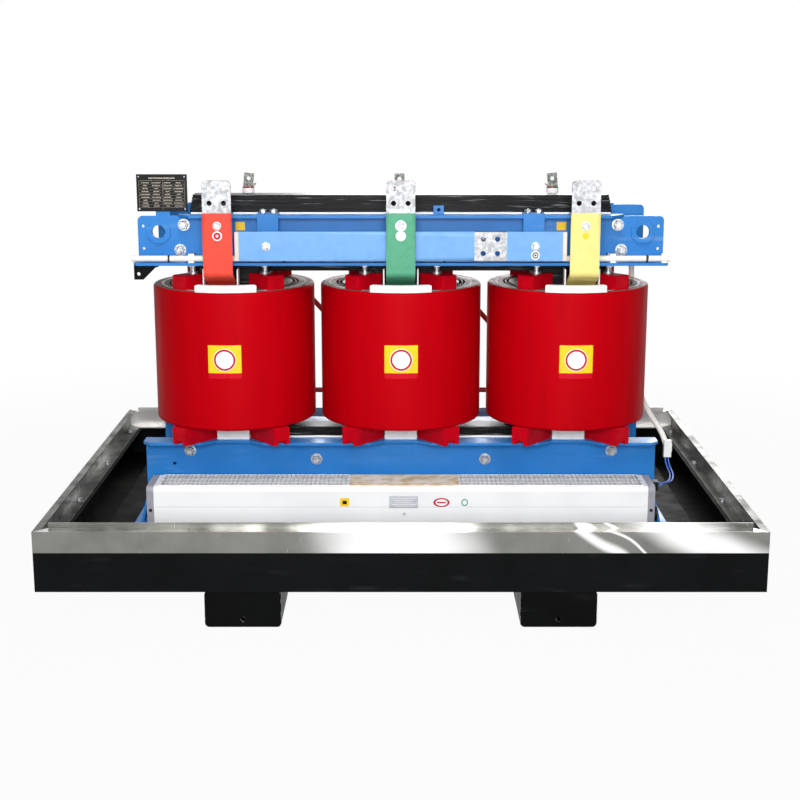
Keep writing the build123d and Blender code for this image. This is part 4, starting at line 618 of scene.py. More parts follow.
# ---------------------------------------------------------------- studio
@dataclass
class Studio:
    """Pale floor, white surroundings, soft lamps and the camera.

    Attributes:
        eye: the camera's place.
        tilt: how far the camera looks down, in degrees.
        lens: focal length on a 36 mm sensor.
        shift: sideways shift of the lens.
        floor_half: half the floor's side, in metres.
        shadow_reach: how far from the object the floor keeps its faint shadow.
        fade_reach: where the floor has become white.
        room_light: level of the surroundings as light.
        dark_front: level of the surroundings in front of the object, in reflections.
    """

    eye: tuple[float, float, float] = (0.0, -4.2916, 1.417)
    tilt: float = 12.65
    lens: float = 65.78
    shift: float = -0.001
    floor_half: float = 14.0
    shadow_reach: float = 1.9
    fade_reach: float = 3.4
    room_light: float = 0.15
    dark_front: float = 0.25

    def build(self) -> None:
        """Sets up everything around the object."""
        self.set_view()
        self.light_room()
        self.lay_floor()
        self.place_camera()
        self.hang_lamp("flash", (0.0, -5.2, 1.95), (0.0, 0.0, 0.35), 1.5, 212.0)
        self.hang_lamp("key", (-1.6, -4.2, 3.4), (0.0, 0.0, 0.4), 2.6, 14.0)
        self.hang_lamp("top", (0.0, -2.3, 3.9), (0.0, -0.3, 0.2), 2.4, 66.0)
        self.hang_lamp("rear", (0.8, 4.8, 2.4), (0.0, 0.0, 0.6), 3.0, 160.0)

    def set_view(self) -> None:
        """Plain view, with no tone curve over the colours."""
        bpy.context.scene.view_settings.view_transform = "Standard"

    def light_room(self) -> None:
        """White surroundings for the camera and in reflections, and a softer level as light."""
        world = bpy.data.worlds.new("studio")
        world.use_nodes = True
        tree = world.node_tree
        tree.nodes.clear()
        rays = add(tree, "ShaderNodeLightPath").outputs
        toward = add(tree, "ShaderNodeTexCoord").outputs["Generated"]
        depth = add(tree, "ShaderNodeSeparateXYZ", {"Vector": toward}).outputs["Y"]
        mirrored = step(tree, depth, 0.1, 0.8, self.dark_front, 1.0)
        light = calculate(tree, "MULTIPLY", calculate(tree, "SUBTRACT", 1.0, self.seen_rays(tree)),
                          self.room_light)
        glossy = calculate(tree, "MULTIPLY", rays["Is Glossy Ray"], mirrored)
        plain = calculate(tree, "MAXIMUM", rays["Is Camera Ray"], rays["Is Transmission Ray"])
        level = calculate(tree, "MAXIMUM", plain, calculate(tree, "MAXIMUM", glossy, light))
        sky = add(tree, "ShaderNodeBackground", {"Color": srgb("#FFFFFF"), "Strength": level})
        add(tree, "ShaderNodeOutputWorld", {"Surface": sky.outputs["Background"]})
        bpy.context.scene.world = world

    def seen_rays(self, tree: Tree) -> Socket:
        """Returns 1 for rays from the camera and for glossy and transmitted ones, else 0."""
        rays = add(tree, "ShaderNodeLightPath").outputs
        either = calculate(tree, "MAXIMUM", rays["Is Camera Ray"], rays["Is Glossy Ray"])
        return calculate(tree, "MAXIMUM", either, rays["Is Transmission Ray"])

    def lay_floor(self) -> None:
        """Pale floor, nearly all self-lit for the camera: a faint shadow by the object, then white."""
        bm = bmesh.new()
        bmesh.ops.create_grid(bm, x_segments=1, y_segments=1, size=self.floor_half)
        mesh = bpy.data.meshes.new("floor")
        bm.to_mesh(mesh)
        bm.free()
        floor = bpy.data.objects.new("floor", mesh)
        bpy.context.scene.collection.objects.link(floor)
        material = bpy.data.materials.new("pale_floor")
        material.use_nodes = True
        tree = material.node_tree
        tree.nodes.clear()
        place = add(tree, "ShaderNodeTexCoord").outputs["Object"]
        away = add(tree, "ShaderNodeVectorMath", {0: place}, operation="LENGTH").outputs["Value"]
        white = step(tree, away, self.shadow_reach, self.fade_reach, 0.95, 1.0)
        share = calculate(tree, "MULTIPLY", white, self.seen_rays(tree))
        paint = add(tree, "ShaderNodeBsdfDiffuse", {"Color": srgb("#A6A6A6")})
        glow = add(tree, "ShaderNodeEmission", {"Color": srgb("#FFFFFF"), "Strength": 1.0})
        mix = add(tree, "ShaderNodeMixShader", {0: share, 1: paint.outputs[0], 2: glow.outputs[0]})
        add(tree, "ShaderNodeOutputMaterial", {"Surface": mix.outputs[0]})
        mesh.materials.append(material)

    def place_camera(self) -> None:
        """Puts the camera at its viewing angle."""
        camera = bpy.data.cameras.new("camera")
        camera.lens = self.lens
        camera.shift_x = self.shift
        camera.clip_end = 60.0
        holder = bpy.data.objects.new("camera", camera)
        holder.location = self.eye
        holder.rotation_euler = (math.radians(90.0 - self.tilt), 0.0, 0.0)
        bpy.context.scene.collection.objects.link(holder)
        bpy.context.scene.camera = holder

    def hang_lamp(self, name: str, place: Sequence[float], target: Sequence[float], width: float,
                  power: float) -> None:
        """Hangs one square soft box.

        Args:
            name: of the lamp.
            place: its centre, in metres.
            target: the point that it faces.
            width: of its side, in metres.
            power: in watts.
        """
        lamp = bpy.data.lights.new(name, "AREA")
        lamp.shape = "SQUARE"
        lamp.size = width
        lamp.energy = power
        holder = bpy.data.objects.new(name, lamp)
        holder.location = place
        aim = Vector(target) - Vector(place)
        holder.rotation_euler = aim.to_track_quat("-Z", "Y").to_euler()
        bpy.context.scene.collection.objects.link(holder)


# ---------------------------------------------------------------- making pieces
def loose_copy(node: str) -> BMesh:
    """Copies a CAD node's mesh with its doubles merged."""
    bm = bmesh.new()
    bm.from_mesh(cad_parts[node].data)
    bmesh.ops.remove_doubles(bm, verts=bm.verts, dist=0.01 * MM)
    return bm


def islands(node: str) -> list[Box]:
    """Finds the loose parts of a CAD node.

    Args:
        node: its name.

    Returns:
        Lowest and highest corner of each part, sorted.
    """
    bm = loose_copy(node)
    left, boxes = set(bm.verts), []
    while left:
        stack = [left.pop()]
        part = []
        while stack:
            vert = stack.pop()
            part.append(vert.co.copy())
            for edge in vert.link_edges:
                other = edge.other_vert(vert)
                if other in left:
                    left.remove(other)
                    stack.append(other)
        boxes.append((Vector(map(min, zip(*part))), Vector(map(max, zip(*part)))))
    bm.free()
    return sorted(boxes, key=lambda box: [round(c, 4) for c in box[0]])


def keep(name: str, mesh: bpy.types.Mesh, finish: Finish, *replaced: str, crease: float = 35.0) -> None:
    """Puts a finished mesh in the scene as a piece of the transformer.

    Args:
        name: the piece's name.
        mesh: its mesh, already in place.
        finish: what it is coated with.
        replaced: CAD nodes that it stands for.
        crease: edges sharper than this many degrees stay sharp.
    """
    mesh.name = name
    mesh.materials.clear()
    mesh.materials.append(finish.material())
    mesh.shade_smooth()
    mesh.set_sharp_from_angle(angle=math.radians(crease))
    piece = bpy.data.objects.new(name, mesh)
    bpy.context.scene.collection.objects.link(piece)
    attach(piece, Body.TRANSFORMER.value)
    if replaced:
        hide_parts(*replaced)
    log.info("made %s with %s", name, finish.name)


def solid(name: str, bm: BMesh, finish: Finish, *replaced: str, crease: float = 35.0) -> None:
    """Turns a bmesh into a piece: see keep."""
    mesh = bpy.data.meshes.new(name)
    bm.to_mesh(mesh)
    bm.free()
    keep(name, mesh, finish, *replaced, crease=crease)


class NodeForm:
    """A Geometry Nodes tree with named sizes, whose result becomes one plain mesh."""

    def __init__(self, name: str) -> None:
        """Starts the tree.

        Args:
            name: of the tree.
        """
        self.tree = bpy.data.node_groups.new(name, "GeometryNodeTree")
        for way in ("INPUT", "OUTPUT"):
            self.tree.interface.new_socket("Geometry", in_out=way, socket_type="NodeSocketGeometry")
        self.source = add(self.tree, "NodeGroupInput")
        self.values: dict[str, float] = {}

    def size(self, name: str, value: float) -> Socket:
        """Adds one named size and returns its socket inside the tree."""
        socket = self.tree.interface.new_socket(name, in_out="INPUT", socket_type="NodeSocketFloat")
        self.values[socket.identifier] = value
        return self.source.outputs[name]

    def move(self, part: Socket, rise: Socket) -> Socket:
        """Lifts a part along Z and returns it."""
        lift = add(self.tree, "ShaderNodeCombineXYZ", {"Z": rise}).outputs["Vector"]
        return add(self.tree, "GeometryNodeTransform",
                   {"Geometry": part, "Translation": lift}).outputs["Geometry"]

    def prism(self, sides: int, radius: Socket, depth: Socket,
              top: Optional[Socket] = None, rise: Optional[Socket] = None,
              rings: int = 1) -> Socket:
        """Upright prism that stands on its seat.

        Args:
            sides: of the prism.
            radius: to its corners.
            depth: its height.
            top: radius at the top, where it tapers.
            rise: height of the seat above the origin.
            rings: segments along the height.

        Returns:
            Its mesh.
        """
        body = add(self.tree, "GeometryNodeMeshCone", {"Vertices": sides, "Side Segments": rings,
                                                       "Radius Top": top or radius, "Radius Bottom": radius,
                                                       "Depth": depth}).outputs["Mesh"]
        return self.move(body, rise) if rise else body

    def scatter(self, part: Socket, twist: float = 0.0, seed: int = 4) -> Socket:
        """Sets a part on every point of the carrier, its Z along the point's "facing".

        Args:
            part: the mesh that is repeated.
            twist: largest turn about its own axis, in radians.
            seed: of the turn.

        Returns:
            The instances.
        """
        facing = add(self.tree, "GeometryNodeInputNamedAttribute", {"Name": "facing"},
                     data_type="FLOAT_VECTOR")
        turn = add(self.tree, "FunctionNodeAlignRotationToVector", {"Vector": facing.outputs[0]}, axis="Z")
        angle = add(self.tree, "FunctionNodeRandomValue", {2: -twist, 3: twist, "Seed": seed},
                    data_type="FLOAT")
        spin = add(self.tree, "FunctionNodeAxisAngleToRotation",
                   {"Axis": (0.0, 0.0, 1.0), "Angle": angle.outputs[1]})
        both = add(self.tree, "FunctionNodeRotateRotation", {0: turn.outputs[0], 1: spin.outputs[0]},
                   rotation_space="LOCAL")
        spots = {"Points": self.source.outputs["Geometry"], "Instance": part, "Rotation": both.outputs[0]}
        return add(self.tree, "GeometryNodeInstanceOnPoints", spots).outputs["Instances"]

    def join(self, *parts: Socket) -> Socket:
        """Joins parts and returns the result."""
        node = add(self.tree, "GeometryNodeJoinGeometry")
        for part in parts:
            self.tree.links.new(part, node.inputs[0])
        return node.outputs[0]

    def build(self, result: Socket, finish: Finish,
              seats: Seats) -> bpy.types.Mesh:
        """Closes the tree and bakes its result.

        Args:
            result: what the tree makes.
            finish: of the mesh.
            seats: place and facing of each point of the carrier.

        Returns:
            The plain mesh.
        """
        whole = add(self.tree, "GeometryNodeRealizeInstances", {"Geometry": result}).outputs["Geometry"]
        painted = add(self.tree, "GeometryNodeSetMaterial",
                      {"Geometry": whole, "Material": finish.material()})
        add(self.tree, "NodeGroupOutput", {"Geometry": painted.outputs["Geometry"]})
        points = bpy.data.meshes.new("carrier")
        points.from_pydata([tuple(place) for place, _ in seats], [], [])
        facing = points.attributes.new("facing", "FLOAT_VECTOR", "POINT")
        facing.data.foreach_set("vector", [c for _, way in seats for c in way])
        carrier = bpy.data.objects.new("carrier", points)
        bpy.context.scene.collection.objects.link(carrier)
        modifier = carrier.modifiers.new("form", "NODES")
        modifier.node_group = self.tree
        for identifier, value in self.values.items():
            modifier[identifier] = value
        graph = bpy.context.evaluated_depsgraph_get()
        mesh = bpy.data.meshes.new_from_object(carrier.evaluated_get(graph))
        bpy.data.objects.remove(carrier)
        bpy.data.meshes.remove(points)
        return mesh


# ---------------------------------------------------------------- fasteners
@dataclass
class Fastener:
    """Hexagon nut on a washer, with the bolt's threaded tail standing out of it and its shank behind.

    Attributes:
        washer: radius of the washer.
        washer_height: its thickness.
        across: the nut's width across flats.
        height: of the nut.
        radius: of the bolt.
        tail: length of thread beyond the nut.
        shank: length of the bolt behind the seat.
        pitch: of the thread, drawn coarser than the real one to show.
    """

    washer: float
    washer_height: float
    across: float
    height: float
    radius: float
    tail: float
    shank: float
    pitch: float = 2.0 * MM

    def build(self, name: str, seats: Seats, *replaced: str) -> None:
        """Makes one piece of all the fasteners of this size.

        Args:
            name: of the piece.
            seats: place of each washer's underside, and the way that the bolt points.
            replaced: CAD nodes that the piece stands for.
        """
        form = NodeForm(name)
        tree = form.tree
        washer_height = form.size("Washer height", self.washer_height)
        height = form.size("Nut height", self.height)
        corner = form.size("Nut corner radius", self.across / math.sqrt(3))
        chamfer = calculate(tree, "MULTIPLY", height, 0.16)
        waist = calculate(tree, "SUBTRACT", height, chamfer)
        chamfer_seat = calculate(tree, "ADD", washer_height, waist)
        washer = form.prism(32, form.size("Washer radius", self.washer), washer_height)
        nut = form.prism(6, corner, waist, rise=washer_height)
        crown = form.prism(6, corner, chamfer, top=calculate(tree, "MULTIPLY", corner, 0.88),
                           rise=chamfer_seat)
        bolt_radius, shank = form.size("Bolt radius", self.radius), form.size("Shank", self.shank)
        tail_seat = calculate(tree, "ADD", washer_height, height)
        tail = form.prism(16, bolt_radius, form.size("Tail", self.tail), rise=tail_seat, rings=28)
        thread = self.thread(form, tail)
        core = form.prism(16, bolt_radius, shank, rise=calculate(tree, "MULTIPLY", shank, -1.0))
        shape = form.scatter(form.join(washer, nut, crown, thread, core), math.pi)
        keep(name, form.build(shape, ZINC, seats), ZINC, *replaced)

    def thread(self, form: NodeForm, tail: Socket) -> Socket:
        """Waves the tail's side in and out along its height and returns it."""
        tree = form.tree
        place = add(tree, "GeometryNodeInputPosition").outputs[0]
        height = add(tree, "ShaderNodeSeparateXYZ", {"Vector": place}).outputs["Z"]
        wave = calculate(tree, "SINE", calculate(tree, "DIVIDE", height,
                                                 form.size("Pitch", self.pitch / math.tau)))
        out = add(tree, "ShaderNodeVectorMath", {0: place, 1: (1.0, 1.0, 0.0)},
                  operation="MULTIPLY").outputs[0]
        share = calculate(tree, "MULTIPLY", wave, 0.06)
        push = add(tree, "ShaderNodeVectorMath", {0: out, "Scale": share}, operation="SCALE").outputs[0]
        return add(tree, "GeometryNodeSetPosition", {"Geometry": tail, "Offset": push}).outputs["Geometry"]


def bolt_everything() -> None:
    """Bolts the clamps together, and the bars and straps to their stand-offs."""
    forward, back, up, down = (0, -1, 0), (0, 1, 0), (0, 0, 1), (0, 0, -1)
    # Height of a through bolt's head in the CAD, and the length that tells a strap's bolt from a bar's.
    head, strap_length = 22 * MM, 28 * MM
    seats = []
    for low, high in islands("clamp_bolts"):
        x, z = (low[0] + high[0]) / 2, (low[2] + high[2]) / 2
        seats += [((x, low[1] + head, z), forward), ((x, high[1] - head, z), back)]
    through = Fastener(17 * MM, 3 * MM, 24 * MM, 12 * MM, 8 * MM, 7 * MM, 106 * MM)
    through.build("clamp_through_bolts", seats, "clamp_bolts")
    bars, straps = [], []
    for low, high in islands("bar_bolts"):
        x, y, z = (low + high) / 2
        if high[2] - low[2] > strap_length:
            straps += [((x, y, high[2] - 9 * MM), up), ((x, y, low[2] + 7 * MM), down)]
        else:
            bars.append(((x, low[1] + 9 * MM, z), forward))
    on_bars = Fastener(12 * MM, 2 * MM, 17 * MM, 6 * MM, 5 * MM, 3 * MM, 8 * MM, 1.5 * MM)
    on_bars.build("bar_clamping_bolts", bars)
    on_straps = Fastener(11.5 * MM, 2 * MM, 17 * MM, 7 * MM, 5 * MM, 2 * MM, 7 * MM, 1.5 * MM)
    on_straps.build("strap_bolts", straps, "bar_bolts")


# ---------------------------------------------------------------- sleeves on the bars
@dataclass
class BarSleeves:
    """Colour sleeves shrunk over the three phase bars and the neutral bar.

    Attributes:
        wall: thickness of a sleeve.
        tongue: bare length at the top of each phase bar.
        pad: first and last X of the neutral bar's bare pad.
    """

    wall: float = 0.7 * MM
    tongue: float = 90 * MM
    pad: tuple[float, float] = (205 * MM, 297 * MM)

    def shrink(self, bm: BMesh, cuts: Sequence[Box]) -> BMesh:
        """Cuts a bar's copy to the sleeve's length and grows it by the wall.

        Args:
            bm: merged copy of the bar.
            cuts: point and normal of each cut; the side that the normal points to goes.

        Returns:
            The closed sleeve.
        """
        for point, normal in cuts:
            bmesh.ops.bisect_plane(bm, geom=list(bm.verts) + list(bm.edges) + list(bm.faces), plane_co=point,
                                   plane_no=normal, clear_outer=True, dist=0.001 * MM)
        rim = [edge for edge in bm.edges if edge.is_boundary]
        bmesh.ops.holes_fill(bm, edges=rim, sides=0)
        bmesh.ops.recalc_face_normals(bm, faces=bm.faces)
        bm.normal_update()
        moves = [(vert, vert.normal * vert.calc_shell_factor() * self.wall) for vert in bm.verts]
        for vert, move in moves:
            vert.co += move
        return bm

    def build(self) -> None:
        """Makes the four sleeves."""
        for colour, finish in (("red", RED_SLEEVE), ("green", GREEN_SLEEVE), ("yellow", YELLOW_SLEEVE)):
            node = f"phase_bar_{colour}"
            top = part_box(node)[1][2] - self.tongue
            solid(f"bar_sleeve_{colour}", self.shrink(loose_copy(node),
                                                      [(Vector((0, 0, top)), Vector((0, 0, 1)))]),
                  finish)
        for side, start, way in (("left", self.pad[0], 1), ("right", self.pad[1], -1)):
            cut = [(Vector((start, 0, 0)), Vector((way, 0, 0)))]
            solid(f"neutral_sleeve_{side}", self.shrink(loose_copy("neutral_bar"), cut), BLUE_SLEEVE)


# ---------------------------------------------------------------- printed films
@dataclass(frozen=True)
class Film:
    """One flat shape of printed film.

    Attributes:
        x: its centre.
        z: its centre's height.
        wide: its width, or its outer diameter where it is round.
        high: its height.
        finish: of the film.
        hole: inner diameter of a ring, 0 for a disc, or below 0 for a rectangle.
        level: how many films lie under it.
    """

    x: float
    z: float
    wide: float
    high: float
    finish: Finish
    hole: float = -1.0
    level: int = 0


@dataclass
class FilmSheet:
    """Films stuck side by side and on one another, on a flat face or round a coil.

    Attributes:
        name: start of the pieces' names.
        films: every film.
        face: Y of the flat face that they are stuck on.
        radius: of the coil that they are bent round, or 0 on a flat face.
        centres: X of the coils' axes.
        thickness: of one film.
    """

    name: str
    films: Sequence[Film]
    face: float
    radius: float = 0.0
    centres: Sequence[float] = ()
    thickness: float = 0.35 * MM

    def place(self, x: float, z: float, lift: float) -> Vector:
        """Returns the point at this x and z, lifted off the face."""
        if not self.radius:
            return Vector((x, self.face - lift, z))
        centre = min(self.centres, key=lambda c: abs(c - x))
        turn = (x - centre) / self.radius
        reach = self.radius + lift
        return Vector((centre + reach * math.sin(turn), -reach * math.cos(turn), z))

    def outline(self, film: Film) -> list[list[tuple[float, float]]]:
        """Lays out a film's rows of points.

        Args:
            film: the shape.

        Returns:
            Rows of x and z; round shapes close on themselves.
        """
        if film.hole < 0:
            steps = 24 if self.radius else 1
            xs = [film.x + film.wide * (i / steps - 0.5) for i in range(steps + 1)]
            return [[(x, film.z + film.high * side) for x in xs] for side in (-0.5, 0.5)]
        if film.hole:
            sizes = [film.hole + (1.0 - film.hole) * i / 4 for i in range(5)]
        else:
            sizes = [0.02, 0.3, 0.55, 0.8, 1.0]
        turns = [math.tau * i / 48 for i in range(49)]
        return [[(film.x + film.wide / 2 * size * math.cos(a), film.z + film.high / 2 * size * math.sin(a))
                 for a in turns] for size in sizes]

    def add_film(self, bm: BMesh, film: Film) -> None:
        """Adds a film's closed plate to a bmesh."""
        rows = self.outline(film)
        layers = []
        for lift in (0.0, (film.level + 1) * self.thickness):
            layers.append([[bm.verts.new(self.place(x, z, lift)) for x, z in row] for row in rows])
        made = []
        for layer in layers:
            for near, far in zip(layer, layer[1:]):
                made += [bm.faces.new((near[i], near[i + 1], far[i + 1], far[i]))
                         for i in range(len(near) - 1)]
        under, over = layers
        for row in (0, -1):
            made += [bm.faces.new((under[row][i], under[row][i + 1], over[row][i + 1], over[row][i]))
                     for i in range(len(under[row]) - 1)]
        if film.hole < 0:
            for end in (0, -1):
                made.append(bm.faces.new((under[0][end], under[1][end], over[1][end], over[0][end])))
        bmesh.ops.remove_doubles(bm, verts=list({v for face in made for v in face.verts}), dist=0.001 * MM)

    def build(self) -> None:
        """Makes one piece for each finish."""
        for finish in dict.fromkeys(film.finish for film in self.films):
            bm = bmesh.new()
            for film in self.films:
                if film.finish == finish:
                    self.add_film(bm, film)
            bmesh.ops.recalc_face_normals(bm, faces=bm.faces)
            solid(f"{self.name}_{finish.name}", bm, finish)


def coil_labels() -> FilmSheet:
    """Returns the labels on the three coils: a yellow square, a ring and a red strip, all blank."""
    low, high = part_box("hv_coil_middle")
    centres = [(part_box(f"lv_coil_{side}")[0][0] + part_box(f"lv_coil_{side}")[1][0]) / 2
               for side in ("left", "middle", "right")]
    bottom = low[2] + 154 * MM
    films = []
    for shift, centre in zip((-6 * MM, 1 * MM, 4 * MM), centres):
        x = centre + shift
        films += [Film(x, bottom + 56 * MM, 95 * MM, 80 * MM, VINYL_YELLOW),
                  Film(x, bottom + 8 * MM, 95 * MM, 16 * MM, VINYL_STRIP),
                  Film(x, bottom + 54 * MM, 65 * MM, 65 * MM, VINYL_WHITE, hole=0.0, level=1),
                  Film(x, bottom + 54 * MM, 61 * MM, 61 * MM, VINYL_RED, hole=0.82, level=2)]
    return FilmSheet("coil_label", films, 0.0, radius=-low[1], centres=centres)


def bar_stickers() -> FilmSheet:
    """Returns the round stickers round and under the bolts of the phase bars."""
    low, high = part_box("phase_bar_green")
    middle, bolt, drop = (low[0] + high[0]) / 2, high[2] - 124 * MM, 28 * MM
    red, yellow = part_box("phase_bar_red"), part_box("phase_bar_yellow")
    left, right = (red[0][0] + red[1][0]) / 2, (yellow[0][0] + yellow[1][0]) / 2
    films = [Film(left, bolt - drop, 27 * MM, 27 * MM, VINYL_WHITE, hole=0.0),
             Film(left, bolt - drop, 20 * MM, 20 * MM, VINYL_RED, hole=0.0, level=1),
             Film(left, bolt - drop, 8 * MM, 8 * MM, VINYL_WHITE, hole=0.0, level=2),
             Film(middle, bolt, 31 * MM, 31 * MM, VINYL_WHITE, hole=0.7),
             Film(middle, bolt - drop, 28 * MM, 28 * MM, VINYL_WHITE, hole=0.0),
             Film(right, bolt - drop, 18 * MM, 18 * MM, VINYL_YELLOW, hole=0.0)]
    return FilmSheet("bar_sticker", films, low[1] - BarSleeves().wall)


def neutral_sticker() -> FilmSheet:
    """Returns the blank ring under the neutral bar's right bolt."""
    low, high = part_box("neutral_bar")
    x, z = high[0] - 76 * MM, low[2] + 15 * MM
    films = [Film(x, z, 24 * MM, 26 * MM, VINYL_WHITE, hole=0.0),
             Film(x, z, 17 * MM, 18 * MM, VINYL_BLACK, hole=0.66, level=1),
             Film(x, z, 6 * MM, 6 * MM, VINYL_BLACK, hole=0.0, level=1)]
    return FilmSheet("neutral_sticker", films, low[1] - BarSleeves().wall)


def clamp_stickers() -> FilmSheet:
    """Returns the two small blank squares on the upper clamp's web."""
    apart, above = 459 * MM, 5 * MM
    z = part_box("neutral_bar")[1][2] + above
    films = [Film(x, z, 27 * MM, 24 * MM, VINYL_YELLOW) for x in (-apart, apart)]
    return FilmSheet("clamp_sticker", films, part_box("nameplate")[1][1])


def fan_labels() -> FilmSheet:
    """Returns the fan's four blank labels, its cover screw's washer and the seam under them."""
    low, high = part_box("fan_housing")
    middle, z = (low[0] + high[0]) / 2, (low[2] + high[2]) / 2 + 14 * MM
    films = [Film(middle - 160 * MM, z + 2 * MM, 26 * MM, 24 * MM, VINYL_YELLOW),
             Film(middle - 160 * MM, z + 1 * MM, 12 * MM, 10 * MM, VINYL_BLACK, level=1),
             Film(middle + 8 * MM, z + 2 * MM, 82 * MM, 36 * MM, VINYL_GREY),
             Film(middle + 116 * MM, z + 1 * MM, 46 * MM, 27 * MM, VINYL_RED, hole=0.74),
             Film(middle + 116 * MM, z + 1 * MM, 26 * MM, 4 * MM, VINYL_RED),
             Film(middle + 182 * MM, z + 1 * MM, 19 * MM, 21 * MM, VINYL_GREEN, hole=0.7),
             Film(middle + 10 * MM, z - 33 * MM, 9 * MM, 9 * MM, VINYL_GREY, hole=0.0),
             Film(middle, z - 12 * MM, high[0] - low[0] - 8 * MM, 1.1 * MM, VINYL_GREY)]
    films += [Film(middle + 8 * MM, z + (14 - 6 * i) * MM, (70 - 11 * (i % 3)) * MM, 1.5 * MM, VINYL_WHITE,
                   level=1)
              for i in range(5)]
    return FilmSheet("fan_label", films, low[1])


def plate_print() -> FilmSheet:
    """Returns the nameplate's blank fields: a title bar, a frame and rows of cells, with no words."""
    low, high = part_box("nameplate")
    wide, tall = high[0] - low[0], high[2] - low[2]
    x, top = (low[0] + high[0]) / 2, high[2]
    films = [Film(x, top - 11 * MM, wide * 0.52, 4 * MM, PLATE_PRINT),
             Film(x, top - 18 * MM, wide * 0.9, 0.9 * MM, PLATE_PRINT)]
    for row in range(9):
        z = top - (24 + 8.2 * row) * MM
        films.append(Film(x, z - 4 * MM, wide * 0.9, 0.7 * MM, PLATE_PRINT))
        for column in range(4):
            length = (0.16, 0.11, 0.19, 0.08, 0.14)[(row * 3 + column * 2) % 5] * wide
            films.append(Film(low[0] + wide * (0.17 + 0.22 * column), z, length, 2.6 * MM, PLATE_PRINT))
    films += [Film(x + wide * share, top - (18 + 41) * MM, 0.7 * MM, 82 * MM, PLATE_PRINT)
              for share in (-0.45, 0.45, 0.02)]
    return FilmSheet("nameplate_print", films, low[1], thickness=0.2 * MM)


# ---------------------------------------------------------------- sleeves of the leads and small trim
@dataclass
class LeadSleeve:
    """Corrugated sleeve of the sensor leads in front of the upper clamp, and the ties on it.

    Attributes:
        pitch: of the corrugation.
        rib: radius of a rib.
        width: of a rib.
        tie_places: X of the black ties.
    """

    pitch: float = 5.0 * MM
    rib: float = 9.1 * MM
    width: float = 2.6 * MM
    tie_places: tuple[float, ...] = (-655 * MM, -330 * MM, 120 * MM, 690 * MM)

    def build(self) -> None:
        """Makes the ribs and the ties."""
        low, high = islands("cable_sleeves")[0]
        y, z = (low[1] + high[1]) / 2, (low[2] + high[2]) / 2
        count = int((high[0] - low[0] - self.pitch) / self.pitch)
        start = (low[0] + high[0] - (count - 1) * self.pitch) / 2
        form = NodeForm("sleeve_ribs")
        radius, width = form.size("Rib radius", self.rib), form.size("Rib width", self.width)
        half = calculate(form.tree, "MULTIPLY", width, 0.5)
        inner = calculate(form.tree, "MULTIPLY", radius, 0.9)
        rib = form.join(form.prism(20, inner, half, top=radius),
                        form.prism(20, radius, half, top=inner, rise=half))
        seats = [((start + i * self.pitch, y, z), (1, 0, 0)) for i in range(count)]
        keep("sleeve_ribs", form.build(form.scatter(rib), CREAM, seats), CREAM)
        ties = NodeForm("sleeve_ties")
        band = ties.prism(24, ties.size("Tie radius", self.rib + 1.2 * MM), ties.size("Tie width", 5 * MM))
        lock = add(ties.tree, "GeometryNodeMeshCube", {"Size": (7 * MM, 6 * MM, 6 * MM)}).outputs["Mesh"]
        shift = add(ties.tree, "GeometryNodeTransform",
                    {"Geometry": lock, "Translation": (11 * MM, 0.0, 2.5 * MM)})
        shape = ties.scatter(ties.join(band, shift.outputs["Geometry"]), math.pi)
        seats = [((x, y, z), (1, 0, 0)) for x in self.tie_places]
        keep("sleeve_ties", ties.build(shape, BLACK_TIE, seats), BLACK_TIE)


@dataclass
class FanMesh:
    """Crossed wires laid over the fan's two openings.

    Attributes:
        wire: radius of a wire.
        pitch: between the wires that run across the fan.
        rows: wires that run along it.
    """

    wire: float = 0.5 * MM
    pitch: float = 12.5 * MM
    rows: int = 2

    def lay(self, name: str, length: float, seats: Seats) -> None:
        """Makes one piece of equal wires.

        Args:
            name: of the piece.
            length: of each wire.
            seats: start and direction of each wire.
        """
        form = NodeForm(name)
        wire = form.prism(8, form.size("Wire radius", self.wire), form.size("Length", length))
        keep(name, form.build(form.scatter(wire), MESH_WIRE, seats), MESH_WIRE)

    def build(self) -> None:
        """Makes the wires across and along both openings."""
        boxes = islands("fan_grilles")
        across = []
        for low, high in boxes:
            count = int((high[0] - low[0]) / self.pitch)
            start = (low[0] + high[0] - (count - 1) * self.pitch) / 2
            across += [((start + i * self.pitch, low[1], high[2] + self.wire), (0, 1, 0))
                       for i in range(count)]
        low, high = boxes[0]
        self.lay("mesh_wires_across", high[1] - low[1], across)
        for side, (low, high) in zip(("left", "right"), boxes):
            gap = (high[1] - low[1]) / (self.rows + 1)
            along = [((low[0], low[1] + gap * (i + 1), high[2] + 2.4 * self.wire), (1, 0, 0))
                     for i in range(self.rows)]
            self.lay(f"mesh_wires_{side}", high[0] - low[0], along)


